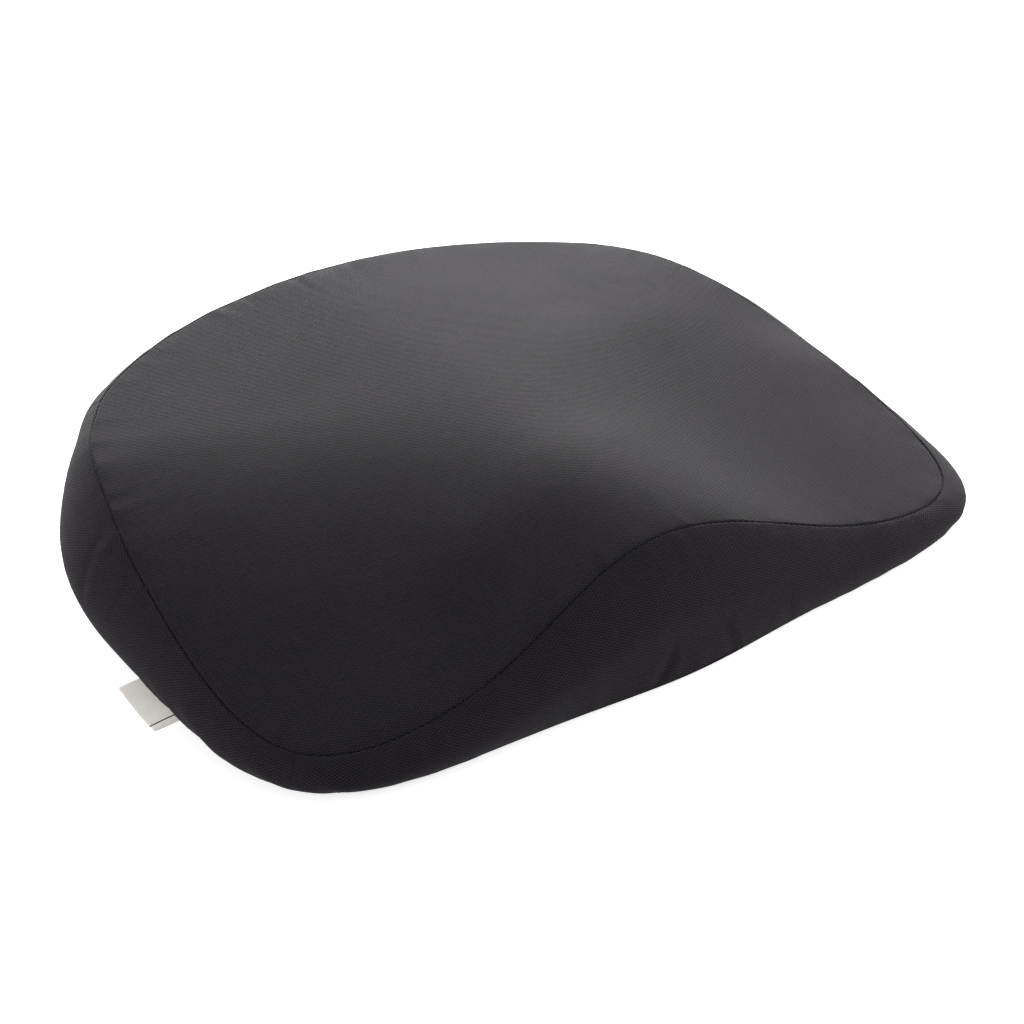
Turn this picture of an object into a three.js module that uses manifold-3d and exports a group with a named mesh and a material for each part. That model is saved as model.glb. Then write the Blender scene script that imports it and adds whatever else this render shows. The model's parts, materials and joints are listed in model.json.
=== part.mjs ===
// Wedge seat cushion: a moulded foam core in a sewn fabric cover that opens with a zip at the back.
// Millimetres, +Z up. +X runs across the seat. The front edge, with its raised middle, is at -Y.
// The origin is on the resting face, in the middle of the cushion's box.

import * as THREE from "three";
import { mergeVertices } from "three/addons/utils/BufferGeometryUtils.js";
import Module from "manifold-3d";

const wasm = await Module();
wasm.setup();

// Overall size
const width = 440;              // across the bulged sides
const depth = 348;              // from the foot of the front edge to the back wall
const rearHeight = 75;          // top seam at the middle of the back
const pommelHeight = 63;        // top seam at the middle of the front
const cornerHeight = 24;        // top surface over the front corners

// Plan outline, taken where the side wall bulges furthest
const widestPlace = 163;        // from the foot of the front edge back to the widest place
const frontSquareness = 5.1;    // superellipse exponents of the front and back halves
const rearSquareness = 2.05;
const rearArcFade = 0.86;       // how much of the space left to the sides the arc takes to run out

// Side wall, leaning in to the resting face below and to the top seam above
const crestShare = 0.48;        // height of the bulge as a share of the seam's height
const bottomTuck = { all: 7, sides: 15, turn: 18, spread: 24 };    // mm, and degrees back from the sides
const seamTuck = { all: 10, sides: 13, turn: 12, spread: 20 };
const frontLean = 18;           // further lean of the front wall at the pommel
const rearLean = 8;             // further lean of the back wall at its middle
const leanSpread = 85;          // half width of both
const footSpread = 62;          // half width of the place where the front wall doesn't tuck in

// Top surface
const sideFall = 11;            // how much lower the sides are than the middle
const sideFallSoftness = 23;    // rounding of that fall at the middle
const pommelSpread = 67;        // half width of the raised middle
const noseSpread = 52;          // half width of its rounded front
const noseStart = 114;          // where the nose begins to fall, from the foot of the front edge
const noseSeam = 27;            // where the nose meets its seam
const cornerPlace = { across: 190, back: 50 };       // where cornerHeight is measured
const rise = { start: 0.5, back: 0.88, sides: 0.25 };    // how the wedge rises from front to back

// Cover
const coverThickness = 1.2;
const touch = 0.3;              // gap between neighbouring pieces
const coreClearance = 1.4;      // between the cover and the foam
const seamThread = 0.9;         // thickness of the stitched thread lines
const threadInset = 0.7;        // thread's middle, in from the wall's face
const rearPanelMargin = 5;      // how far the back wall's strips run past the ends of the zip's tapes

// Zip, on the back wall
const zipLength = 300;
const zipRaise = 0.5;           // zip's middle line above the middle of the back wall
const zipSlot = 10;             // between the folded edges of the back wall's strips
const tapeThickness = 0.7;
const tapeHeight = 12;          // each tape, from the chain's middle line
const tapeTail = 12;            // tape beyond the end of the chain
const chainGap = 1.2;           // between the two rows of coil, and between the two tapes
const coilHeight = 2.5;
const coilThickness = 1.8;
const stopLength = 2.4;
const crestBand = 28;           // flat height of the back wall around the zip
const recessBand = 12;          // height of the groove in the foam behind the zip
const recessSlope = 6;

// Zip slider and pull
const slider = { length: 10, height: 9, plate: 1.5, flange: 1.0, neck: 0.6, neckLength: 3 };
const innerPlate = { height: 7, thickness: 1.2 };
const bridge = { length: 5.4, leg: 1.0, height: 3.4, beam: 1.0, width: 1.6 };
const pull = { length: 25, width: 7, thickness: 1.2, armWidth: 1.1, windowHeight: 3.2, windowLength: 3.6 };
const pinHeight = 1.2;          // pull's pivot above the slider's plate

// Labels
const brandLabel = { place: -41, across: 205, length: 37, reach: 12, thickness: 0.5, droop: 0.8 };
const careLabel = { turn: 25, width: 32, length: 45, inset: 2, thickness: 0.3 };

// How finely the curved pieces are cut into flat faces
const stationsAround = 80;
const stationsOnZip = 30;
const labelSteps = 4;
const wallRows = 8;
const topRings = [0, 0.1, 0.28, 0.52, 0.78];

const halfWidth = width / 2;
const zipHeight = rearHeight / 2 + zipRaise;
const frontFoot = -depth / 2;
const rearCrest = depth / 2;
const widestY = frontFoot + widestPlace;
const rearHalf = rearCrest - widestY;
const middle = { x: 0, y: widestY };

// Layers of the back wall, as distances in from its outer face
const coreOffset = coverThickness + coreClearance;
const tapeOffset = coverThickness + touch;
const coilInner = tapeOffset - touch;
const coilOuter = coilInner - coilThickness;
const innerPlateOffset = tapeOffset + tapeThickness + touch;
const recessOffset = innerPlateOffset + innerPlate.thickness + touch;

const radians = THREE.MathUtils.degToRad;
const mix = THREE.MathUtils.lerp;
const bell = (distance, spread) => Math.exp(-((distance / spread) ** 2));

// Height of the finished top surface over a place in plan
function topHeight(x, y) {
  const back = (y - frontFoot) / depth;
  const across = Math.abs(x) / halfWidth;
  const sides = (sideFall * (Math.hypot(x, sideFallSoftness) - sideFallSoftness)) / halfWidth;
  const wedge = wedgeFall * (1 - bell(x, pommelSpread)) * (1 - riseAt(across, back));
  const nose = Math.max(0, noseStart - (y - frontFoot)) / (noseStart - noseSeam);
  const noseFall = (rearHeight - pommelHeight) * nose ** 2 * bell(x, noseSpread);
  return rearHeight - sides - wedge - noseFall;
}

function riseAt(across, back) {
  return THREE.MathUtils.smoothstep(rise.start + rise.back * back - rise.sides * across ** 2, 0, 1);
}

const cornerFall = rearHeight - cornerHeight - sideFall * (cornerPlace.across / halfWidth) * 0.9;
const cornerRise = riseAt(cornerPlace.across / halfWidth, cornerPlace.back / depth);
const wedgeFall = cornerFall / (1 - cornerRise);

// Plain outline: two half superellipses that meet at the widest place
function outlineReach(turn) {
  const across = Math.abs(Math.sin(turn));
  const along = Math.abs(Math.cos(turn));
  const rear = Math.cos(turn) > 0;
  const power = rear ? rearSquareness : frontSquareness;
  const half = rear ? rearHalf : widestPlace;
  return ((across / halfWidth) ** power + (along / half) ** power) ** (-1 / power);
}

// The true arc that the back wall follows for the zip, through the outline's rear middle and its arc ends
const rearArcReach = zipLength / 2;
const arcSagitta = rearHalf * (1 - (1 - (rearArcReach / halfWidth) ** rearSquareness) ** (1 / rearSquareness));
const arcRadius = (rearArcReach ** 2 + arcSagitta ** 2) / (2 * arcSagitta);
const arcCentreY = rearCrest - arcRadius;
const chainHalfAngle = zipLength / 2 / arcRadius;
const tapeHalfAngle = (zipLength / 2 + tapeTail) / arcRadius;

function arcReach(turn) {
  const drop = widestY - arcCentreY;
  const along = drop * Math.cos(turn);
  return -along + Math.sqrt(along ** 2 - drop ** 2 + arcRadius ** 2);
}

// 1 along the zip's arc, fading to 0 on the sides
function arcWeight(turn) {
  if (Math.cos(turn) <= 0) return 0;
  const x = Math.abs(outlineReach(turn) * Math.sin(turn));
  const arcEnd = mix(rearArcReach, halfWidth, rearArcFade);
  return 1 - THREE.MathUtils.smoothstep(x, rearArcReach, arcEnd);
}

// Turns are measured at the middle, counterclockwise from straight back
function crestPoint(turn) {
  const weight = arcWeight(turn);
  const reach = weight > 0 ? mix(outlineReach(turn), arcReach(turn), weight) : outlineReach(turn);
  return new THREE.Vector2(middle.x - reach * Math.sin(turn), middle.y + reach * Math.cos(turn));
}

function outwardAt(turn) {
  const step = radians(0.5);
  const along = crestPoint(turn + step).sub(crestPoint(turn - step)).normalize();
  return new THREE.Vector2(along.y, -along.x);
}

// How far a lean or tuck acts at a turn: all round, and more at the sides
function tuckAt(tuck, turn) {
  const fromBack = THREE.MathUtils.radToDeg(Math.acos(Math.cos(turn)));
  return tuck.all + tuck.sides * bell(fromBack - 90 + tuck.turn, tuck.spread);
}

// One upright section of the cushion: where its wall's crest, seam and foot are
function station(turn) {
  const crest = crestPoint(turn);
  const out = outwardAt(turn);
  const front = Math.cos(turn) < 0;
  const lean = (front ? frontLean : rearLean) * bell(crest.x, leanSpread);
  const footStep = front ? bottomTuck.all * bell(crest.x, footSpread) : 0;
  const seamInset = tuckAt(seamTuck, turn) + lean;
  const seam = crest.clone().addScaledVector(out, -seamInset);
  const seamZ = topHeight(seam.x, seam.y);
  const weight = arcWeight(turn);
  const crestZ = mix(crestShare * seamZ, zipHeight, weight);
  return {
    crest, out, seamInset, seamZ, crestZ, weight,
    footInset: tuckAt(bottomTuck, turn) - footStep,
    flatHalf: (weight * crestBand) / 2,
  };
}

// How far in from the crest line the wall's outer face is, at a height
function wallInset(at, z) {
  const low = at.crestZ - at.flatHalf;
  const high = at.crestZ + at.flatHalf;
  if (z < low) return at.footInset * (1 - z / low) ** 2;
  if (z > high) return at.seamInset * ((z - high) / (at.seamZ - high)) ** 2;
  return 0;
}

function wallPoint(at, z, offset) {
  const plan = at.crest.clone().addScaledVector(at.out, -wallInset(at, z) - offset);
  return new THREE.Vector3(plan.x, plan.y, z);
}

// Turns from one place round to another, both ends included, on the common stations between them
function turnsBetween(from, to) {
  const step = 360 / stationsAround;
  const turns = [from];
  for (let turn = Math.ceil(from / step + 0.1) * step; turn < to - 0.1 * step; turn += step) {
    turns.push(turn);
  }
  turns.push(to);
  return turns.map(radians);
}

// Degrees from straight back at which the outline's rear half is a distance across from the middle
function turnAcross(across) {
  let low = 0;
  let high = 90;
  while (high - low > 0.01) {
    const turn = (low + high) / 2;
    if (Math.abs(crestPoint(radians(turn)).x) < across) low = turn;
    else high = turn;
  }
  return low;
}

// The back wall's ends are stations too, so that all the layers have their corners at the same turns
const rearPanelTurn = turnAcross(arcRadius * Math.sin(tapeHalfAngle) + rearPanelMargin);
const sideTurns = turnsBetween(rearPanelTurn, 360 - rearPanelTurn);
const allRound = [...turnsBetween(-rearPanelTurn, rearPanelTurn), ...sideTurns.slice(1, -1)];

// Faces between grid points given as columns going counterclockwise, each running from low to high
function addFaces(positions, columns, closed, flipped) {
  const count = columns.length;
  const last = closed ? count : count - 1;
  for (let i = 0; i < last; i += 1) {
    const here = columns[i];
    const next = columns[(i + 1) % count];
    for (let j = 0; j < here.length - 1; j += 1) {
      addQuad(positions, [here[j], next[j], next[j + 1], here[j + 1]], flipped);
    }
  }
}

function addQuad(positions, corners, flipped = false) {
  const [a, b, c, d] = flipped ? [...corners].reverse() : corners;
  addTriangle(positions, a, b, c);
  addTriangle(positions, a, c, d);
}

function addTriangle(positions, a, b, c) {
  const area = new THREE.Triangle(a, b, c).getArea();
  if (area < 1e-9) return;
  for (const corner of [a, b, c]) positions.push(corner.x, corner.y, corner.z);
}

function solidFrom(positions) {
  const geometry = new THREE.BufferGeometry();
  geometry.setAttribute("position", new THREE.Float32BufferAttribute(positions, 3));
  const merged = mergeVertices(geometry, 1e-4);
  merged.computeVertexNormals();
  return merged;
}

// A closed skin whose columns start and end at shared points
function skinSolid(columns) {
  const positions = [];
  addFaces(positions, columns, true, false);
  return solidFrom(positions);
}

// A sheet with an outer and an inner face, in a ring or as an open strip
function sheetSolid(outer, inner, closed) {
  const positions = [];
  addFaces(positions, outer, closed, false);
  addFaces(positions, inner, closed, true);
  const lowEdge = outer.map((column, i) => [inner[i][0], column[0]]);
  const highEdge = outer.map((column, i) => [column.at(-1), inner[i].at(-1)]);
  addFaces(positions, lowEdge, closed, false);
  addFaces(positions, highEdge, closed, false);
  if (!closed) {
    addEndCap(positions, outer[0], inner[0], false);
    addEndCap(positions, outer.at(-1), inner.at(-1), true);
  }
  return solidFrom(positions);
}

function addEndCap(positions, outer, inner, flipped) {
  for (let j = 0; j < outer.length - 1; j += 1) {
    addQuad(positions, [outer[j], outer[j + 1], inner[j + 1], inner[j]], flipped);
  }
}

// Part of the wall between two heights and two depths. Both heights may differ at each station.
function wallSheet(turns, rows, lowAt, highAt, offset, thickness, closed = false) {
  const face = (depthIn) => turns.map((turn) => {
    const at = station(turn);
    const low = lowAt(at);
    const high = highAt(at);
    return Array.from({ length: rows + 1 }, (_, j) => wallPoint(at, mix(low, high, j / rows), depthIn));
  });
  return sheetSolid(face(offset), face(offset + thickness), closed);
}

const threadRoom = seamThread + 2 * touch;

function foamCore() {
  const columns = allRound.map((turn) => {
    const at = station(turn);
    const seamZ = at.seamZ - coreOffset;
    const even = [0.14, 0.3, 0.46, 0.62, 0.82].map((share) => mix(coreOffset, seamZ, share));
    const half = recessBand / 2;
    const heights = [-half - recessSlope, -half, half, half + recessSlope].map((h) => zipHeight + h);
    heights.splice(2, 0, zipHeight);
    const recess = [0, 1, 1, 1, 0].map((share) => share * at.weight * (recessOffset - coreOffset));
    const wall = even.map((z, k) => wallPoint(at, mix(z, heights[k], at.weight), coreOffset + recess[k]));
    const foot = wallPoint(at, coreOffset, coreOffset);
    const rim = wallPoint(at, at.seamZ, coreOffset).setZ(0);
    const top = topRings.map((share) => {
      const x = mix(rim.x, middle.x, share);
      const y = mix(rim.y, middle.y, share);
      return new THREE.Vector3(x, y, topHeight(x, y) - coreOffset);
    });
    const crown = new THREE.Vector3(middle.x, middle.y, topHeight(middle.x, middle.y) - coreOffset);
    return [new THREE.Vector3(middle.x, middle.y, coreOffset), foot, ...wall, ...top, crown];
  });
  return skinSolid(columns);
}

function topPanel() {
  const face = (drop) => allRound.map((turn) => {
    const at = station(turn);
    const seam = wallPoint(at, at.seamZ, 0);
    const points = topRings.map((share) => {
      const x = mix(seam.x, middle.x, share);
      const y = mix(seam.y, middle.y, share);
      return new THREE.Vector3(x, y, topHeight(x, y) - drop);
    });
    return [...points, new THREE.Vector3(middle.x, middle.y, topHeight(middle.x, middle.y) - drop)];
  });
  return sheetSolid(face(0), face(coverThickness), true);
}

function bottomPanel() {
  const face = (z) => allRound.map((turn) => {
    const foot = wallPoint(station(turn), 0, 0).setZ(z);
    return [new THREE.Vector3(middle.x, middle.y, z), foot];
  });
  return sheetSolid(face(0), face(coverThickness), true);
}

const wallLow = () => coverThickness + threadRoom;
const wallHigh = (at) => at.seamZ - coverThickness - threadRoom;
const wallEndGap = THREE.MathUtils.radToDeg(touch / 2 / rearHalf);

function sideBoxing() {
  const turns = turnsBetween(rearPanelTurn + wallEndGap, 360 - rearPanelTurn - wallEndGap);
  return wallSheet(turns, wallRows, wallLow, wallHigh, 0, coverThickness);
}

const rearTurns = turnsBetween(wallEndGap - rearPanelTurn, rearPanelTurn - wallEndGap);

function rearBoxingUpper() {
  return wallSheet(rearTurns, 3, () => zipHeight + zipSlot / 2, wallHigh, 0, coverThickness);
}

function rearBoxingLower() {
  return wallSheet(rearTurns, 3, wallLow, () => zipHeight - zipSlot / 2, 0, coverThickness);
}

// A thread line all round, at a height that may differ at each station
function threadRing(lowAt) {
  const inset = threadInset - seamThread / 2;
  return wallSheet(allRound, 1, lowAt, (at) => lowAt(at) + seamThread, inset, seamThread, true);
}

// A block on the zip's arc. Angles are counterclockwise from straight back at the arc's centre.
function arcBlock(fromAngle, toAngle, steps, low, high, offset, thickness) {
  const face = (depthIn) => Array.from({ length: steps + 1 }, (_, i) => {
    const angle = mix(fromAngle, toAngle, i / steps);
    const radius = arcRadius - depthIn;
    const x = -radius * Math.sin(angle);
    const y = arcCentreY + radius * Math.cos(angle);
    return [new THREE.Vector3(x, y, low), new THREE.Vector3(x, y, high)];
  });
  return sheetSolid(face(offset), face(offset + thickness), false);
}

const coilHalfAngle = chainHalfAngle - (stopLength + touch) / arcRadius;
const sliderHalfTravel = coilHalfAngle - (slider.length / 2) / arcRadius;

// side is 1 for the upper piece and -1 for the lower
function zipRow(side, near, height, halfAngle, offset, thickness) {
  const inner = zipHeight + side * near;
  const outer = zipHeight + side * (near + height);
  const low = Math.min(inner, outer);
  const high = Math.max(inner, outer);
  return arcBlock(-halfAngle, halfAngle, stationsOnZip, low, high, offset, thickness);
}

function zipTape(side) {
  return zipRow(side, chainGap / 2, tapeHeight - chainGap / 2, tapeHalfAngle, tapeOffset, tapeThickness);
}

function zipCoil(side) {
  return zipRow(side, chainGap / 2, coilHeight, coilHalfAngle, coilOuter, coilThickness);
}

function zipTopStop(side) {
  const inner = zipHeight + (side * chainGap) / 2;
  const outer = inner + side * coilHeight;
  const end = -chainHalfAngle + stopLength / arcRadius;
  const low = Math.min(inner, outer);
  return arcBlock(-chainHalfAngle, end, 1, low, Math.max(inner, outer), coilOuter, coilThickness);
}

function zipBottomStop() {
  const half = chainGap / 2 + coilHeight;
  const start = chainHalfAngle - stopLength / arcRadius;
  return arcBlock(start, chainHalfAngle, 1, zipHeight - half, zipHeight + half, coilOuter, coilThickness);
}

// Boxes and outlines of the slider, in its own frame: x along the zip, y up, z out of the wall
function boxSolid(lengthX, lengthY, fromZ, toZ, x = 0, y = 0) {
  const box = new THREE.BoxGeometry(lengthX, lengthY, toZ - fromZ);
  return box.translate(x, y, (fromZ + toZ) / 2);
}

function toManifold(geometry) {
  const bare = geometry.clone();
  bare.deleteAttribute("normal");
  bare.deleteAttribute("uv");
  const merged = mergeVertices(bare);
  const vertProperties = new Float32Array(merged.attributes.position.array);
  const triVerts = new Uint32Array(merged.index.array);
  return new wasm.Manifold(new wasm.Mesh({ numProp: 3, vertProperties, triVerts }));
}

function joined(geometries) {
  const whole = geometries.map(toManifold).reduce((sum, next) => sum.add(next));
  const mesh = whole.getMesh();
  const geometry = new THREE.BufferGeometry();
  geometry.setAttribute("position", new THREE.BufferAttribute(mesh.vertProperties, 3));
  geometry.setIndex(new THREE.BufferAttribute(mesh.triVerts, 1));
  geometry.computeVertexNormals();
  return geometry;
}

// Slider plate: square at the closed side, narrowing a little towards the open side
function plateOutline(length, height) {
  const shape = new THREE.Shape();
  const nose = height / 2 - 0.9;
  shape.moveTo(-length / 2, -nose);
  shape.lineTo(-length / 4, -height / 2);
  shape.lineTo(length / 2, -height / 2);
  shape.lineTo(length / 2, height / 2);
  shape.lineTo(-length / 4, height / 2);
  shape.lineTo(-length / 2, nose);
  shape.closePath();
  return shape;
}

const plateInner = -coilOuter + touch;
const plateOuter = plateInner + slider.plate;

function sliderPlate(outline, fromZ, toZ) {
  return new THREE.ExtrudeGeometry(outline, { depth: toZ - fromZ, bevelEnabled: false }).translate(0, 0, fromZ);
}

// Arch on the plate that holds the pull's pin
function sliderBridge() {
  const half = bridge.length / 2;
  const under = half - bridge.leg;
  const foot = -slider.plate / 2;
  const shape = new THREE.Shape();
  shape.moveTo(-half, foot);
  shape.lineTo(-under, foot);
  shape.lineTo(-under, bridge.height - bridge.beam);
  shape.lineTo(under, bridge.height - bridge.beam);
  shape.lineTo(under, foot);
  shape.lineTo(half, foot);
  shape.lineTo(half, bridge.height);
  shape.lineTo(-half, bridge.height);
  shape.closePath();
  const arch = new THREE.ExtrudeGeometry(shape, { depth: bridge.width, bevelEnabled: false });
  arch.translate(0, 0, -bridge.width / 2);
  arch.rotateX(Math.PI / 2);
  return arch.translate(0, 0, plateOuter);
}

function sliderBody() {
  const bite = 0.1;             // how deep the joined pieces run into each other
  const outer = plateOutline(slider.length, slider.height);
  const inner = plateOutline(slider.length, innerPlate.height);
  const flangeLength = slider.length * 0.7;
  const flangeX = slider.length * 0.1;
  const flangeY = (slider.height - slider.flange) / 2;
  const flangeFoot = -coilInner;
  const pieces = [sliderPlate(outer, plateInner, plateOuter)];
  for (const side of [1, -1]) {
    const flange = boxSolid(flangeLength, slider.flange, flangeFoot, plateInner + bite, flangeX, side * flangeY);
    pieces.push(flange);
  }
  const neckX = slider.neckLength / 2 - slider.length / 2;
  pieces.push(boxSolid(slider.neckLength, slider.neck, -innerPlateOffset - bite, plateInner + bite, neckX));
  pieces.push(sliderPlate(inner, -innerPlateOffset - innerPlate.thickness, -innerPlateOffset));
  pieces.push(sliderBridge());
  return joined(pieces);
}

// Flat pull with a window that leaves a square pin under the bridge and an arm on each side
function pullTab() {
  const half = pull.width / 2;
  const root = bridge.width / 2 + touch + 0.3 + pull.armWidth;
  const pin = pull.thickness / 2;
  const shoulder = pin + pull.windowLength + 1.5;
  const rounding = half * 0.8;
  const shape = new THREE.Shape();
  shape.moveTo(-pin, -root);
  shape.lineTo(shoulder - 2, -root);
  shape.lineTo(shoulder, -half);
  shape.lineTo(pull.length - rounding, -half);
  shape.quadraticCurveTo(pull.length, -half, pull.length, 0);
  shape.quadraticCurveTo(pull.length, half, pull.length - rounding, half);
  shape.lineTo(shoulder, half);
  shape.lineTo(shoulder - 2, root);
  shape.lineTo(-pin, root);
  shape.closePath();
  const window = new THREE.Path();
  const windowHalf = pull.windowHeight / 2;
  window.moveTo(pin, -windowHalf);
  window.lineTo(pin, windowHalf);
  window.lineTo(pin + pull.windowLength, windowHalf);
  window.lineTo(pin + pull.windowLength, -windowHalf);
  window.closePath();
  shape.holes.push(window);
  const options = { depth: pull.thickness, bevelEnabled: false, curveSegments: 6 };
  return new THREE.ExtrudeGeometry(shape, options).translate(0, 0, -pull.thickness / 2);
}

// Folded tab that comes out of the bottom seam on the left side
function labelTab() {
  const low = coverThickness + (threadRoom - brandLabel.thickness) / 2;
  const rear = brandLabel.place + brandLabel.length / 2;
  const columns = (lift) => Array.from({ length: labelSteps + 1 }, (_, i) => {
    const y = rear - (brandLabel.length * i) / labelSteps;
    const root = wallPoint(station(Math.atan2(brandLabel.across, y - middle.y)), wallLow(), 0);
    const tip = new THREE.Vector3(root.x - brandLabel.reach, root.y, low + lift - brandLabel.droop);
    return [root.setZ(low + lift), tip];
  });
  return sheetSolid(columns(0), columns(brandLabel.thickness), false);
}

// Small label sewn into the bottom seam inside the cover, lying flat on the bottom panel
function careTab() {
  const low = coverThickness + (coreClearance - careLabel.thickness) / 2;
  const half = THREE.MathUtils.radToDeg(careLabel.width / 2 / rearHalf);
  const out = outwardAt(radians(careLabel.turn));
  const columns = (z) => [careLabel.turn - half, careLabel.turn + half].map((turn) => {
    const root = wallPoint(station(radians(turn)), 0, careLabel.inset).setZ(z);
    const inner = root.clone().addScaledVector(new THREE.Vector3(out.x, out.y, 0), -careLabel.length);
    return [inner, root];
  });
  return sheetSolid(columns(low), columns(low + careLabel.thickness), false);
}

const finishes = {
  fabric: { color: 0x2b292b, roughness: 0.92, metalness: 0 },
  base: { color: 0x242326, roughness: 0.95, metalness: 0 },
  foam: { color: 0xd9d2c0, roughness: 0.95, metalness: 0 },
  thread: { color: 0x18171a, roughness: 0.8, metalness: 0 },
  tape: { color: 0x1d1c1f, roughness: 0.9, metalness: 0 },
  coil: { color: 0x202024, roughness: 0.55, metalness: 0 },
  metal: { color: 0x2e2e31, roughness: 0.4, metalness: 0.6 },
  label: { color: 0xe6e2dd, roughness: 0.85, metalness: 0 },
};

const cushion = new THREE.Group();

function addPiece(name, geometry, finish, parent = cushion) {
  const mesh = new THREE.Mesh(geometry, new THREE.MeshStandardMaterial(finishes[finish]));
  mesh.name = name;
  parent.add(mesh);
  return mesh;
}

addPiece("foam_core", foamCore(), "foam");
addPiece("top_panel", topPanel(), "fabric");
addPiece("side_boxing", sideBoxing(), "fabric");
addPiece("rear_boxing_upper", rearBoxingUpper(), "fabric");
addPiece("rear_boxing_lower", rearBoxingLower(), "fabric");
addPiece("bottom_panel", bottomPanel(), "base");
addPiece("top_seam_thread", threadRing((at) => at.seamZ - coverThickness - touch - seamThread), "thread");
addPiece("bottom_seam_thread", threadRing(() => coverThickness + touch), "thread");
addPiece("woven_label", labelTab(), "label");
addPiece("care_label", careTab(), "label");
for (const [side, name] of [[1, "upper"], [-1, "lower"]]) {
  addPiece(`zip_tape_${name}`, zipTape(side), "tape");
  addPiece(`zip_coil_${name}`, zipCoil(side), "coil");
  addPiece(`zip_top_stop_${name}`, zipTopStop(side), "metal");
}
addPiece("zip_bottom_stop", zipBottomStop(), "metal");

// The slider stands at the closed end. Its frame turns with the wall there.
const sliderFrame = new THREE.Group();
const sliderAngle = -sliderHalfTravel;
const outDirection = new THREE.Vector3(-Math.sin(sliderAngle), Math.cos(sliderAngle), 0);
const alongDirection = new THREE.Vector3(-Math.cos(sliderAngle), -Math.sin(sliderAngle), 0);
const upDirection = new THREE.Vector3(0, 0, 1);
const turnMatrix = new THREE.Matrix4().makeBasis(alongDirection, upDirection, outDirection);
sliderFrame.quaternion.setFromRotationMatrix(turnMatrix);
sliderFrame.position.set(0, arcCentreY, zipHeight).addScaledVector(outDirection, arcRadius);
cushion.add(sliderFrame);
addPiece("zip_slider", sliderBody(), "metal", sliderFrame);
const pullMesh = addPiece("zip_pull", pullTab(), "metal", sliderFrame);
pullMesh.position.set(0, 0, plateOuter + pinHeight);

export default cushion;
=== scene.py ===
import json
import math

import bpy
import numpy as np
from mathutils import Matrix, Vector, noise


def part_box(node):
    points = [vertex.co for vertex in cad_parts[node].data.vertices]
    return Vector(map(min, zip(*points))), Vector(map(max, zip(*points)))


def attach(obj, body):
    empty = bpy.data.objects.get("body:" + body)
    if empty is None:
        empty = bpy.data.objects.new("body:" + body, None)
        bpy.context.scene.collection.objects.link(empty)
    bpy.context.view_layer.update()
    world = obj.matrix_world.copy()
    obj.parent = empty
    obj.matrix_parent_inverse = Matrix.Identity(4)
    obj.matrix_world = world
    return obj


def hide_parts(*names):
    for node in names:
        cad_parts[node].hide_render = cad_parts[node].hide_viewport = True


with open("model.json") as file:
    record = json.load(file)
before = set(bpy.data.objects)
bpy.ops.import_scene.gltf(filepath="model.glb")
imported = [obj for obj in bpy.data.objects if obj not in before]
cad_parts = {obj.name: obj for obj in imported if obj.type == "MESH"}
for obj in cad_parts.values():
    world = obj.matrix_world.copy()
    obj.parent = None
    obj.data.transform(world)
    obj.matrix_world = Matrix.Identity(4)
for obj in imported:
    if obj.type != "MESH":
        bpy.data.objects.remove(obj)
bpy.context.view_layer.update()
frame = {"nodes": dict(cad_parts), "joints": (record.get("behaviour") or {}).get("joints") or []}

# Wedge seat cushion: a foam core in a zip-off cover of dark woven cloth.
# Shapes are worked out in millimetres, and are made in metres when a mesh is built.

mm = 0.001
scene = bpy.context.scene


def say(stage):
    print("cushion:", stage)


sideLow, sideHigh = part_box("side_boxing")
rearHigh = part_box("rear_boxing_lower")[1]
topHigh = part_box("top_panel")[1]
zipTravel = next(j for j in frame["joints"] if j["name"] == "zip_travel")

shape = {
    "pommelHeight": 63, "cornerFall": 72,       # how far the corners lie below the back
    "widestPlace": 163,                         # from the front edge back to the widest place
    "frontSquareness": 5.1, "rearSquareness": 2.05,
    "arcReach": 150, "arcFade": 60,             # the back wall's true arc, which the zip follows
    "crestShare": 0.48,                         # height of the side's bulge, as a share of the seam's
    "bottomTuck": (7, 15, 18, 24),              # all round, at the sides, degrees back, spread
    "seamTuck": (10, 13, 12, 20),
    "frontLean": 18, "rearLean": 8, "leanSpread": 85, "footSpread": 62,
    "sideFall": 11, "sideSoft": 23,
    "pommelSpread": 67, "noseSpread": 52, "noseStart": 114, "noseSeam": 27,
    "riseStart": 0.5, "riseBack": 0.88, "riseSides": 0.25,
    "zipBand": 28,                              # flat height of the back wall round the zip
    # Where the worn cover sits off its pattern: turn, spread, and moves out of crest, seam and foot
    "settled": [
        (60, 9, -3.6, -1.4, -2.8), (54, 4.5, -1.8, -1.0, -1.5),
        (239, 9, 2.8, 0.3, 2.4), (262, 12, -2.0, -0.7, -1.4),
    ],
    # Hollows in the top: across, along, spread, depth
    "hollows": [(120, 118, 62, 1.7), (203, -6, 26, 2.0)],
}

halfWidth = sideHigh.x / mm
frontFoot = sideLow.y / mm
rearCrest = rearHigh.y / mm
depth = rearCrest - frontFoot
rearHeight = topHigh.z / mm
widestY = frontFoot + shape["widestPlace"]
rearHalf = rearCrest - widestY
zipHeight = zipTravel["pos_m"][2] / mm
arcCentreY = zipTravel["pos_m"][1] / mm
arcRadius = rearCrest - arcCentreY
rearPanelTurn = 49.8                              # degrees either side of straight back


def smoothStep(t):
    t = np.clip(t, 0, 1)
    return t * t * (3 - 2 * t)


def bell(distance, spread):
    return np.exp(-((distance / spread) ** 2))


def mix(a, b, t):
    return a + (b - a) * t


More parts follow.
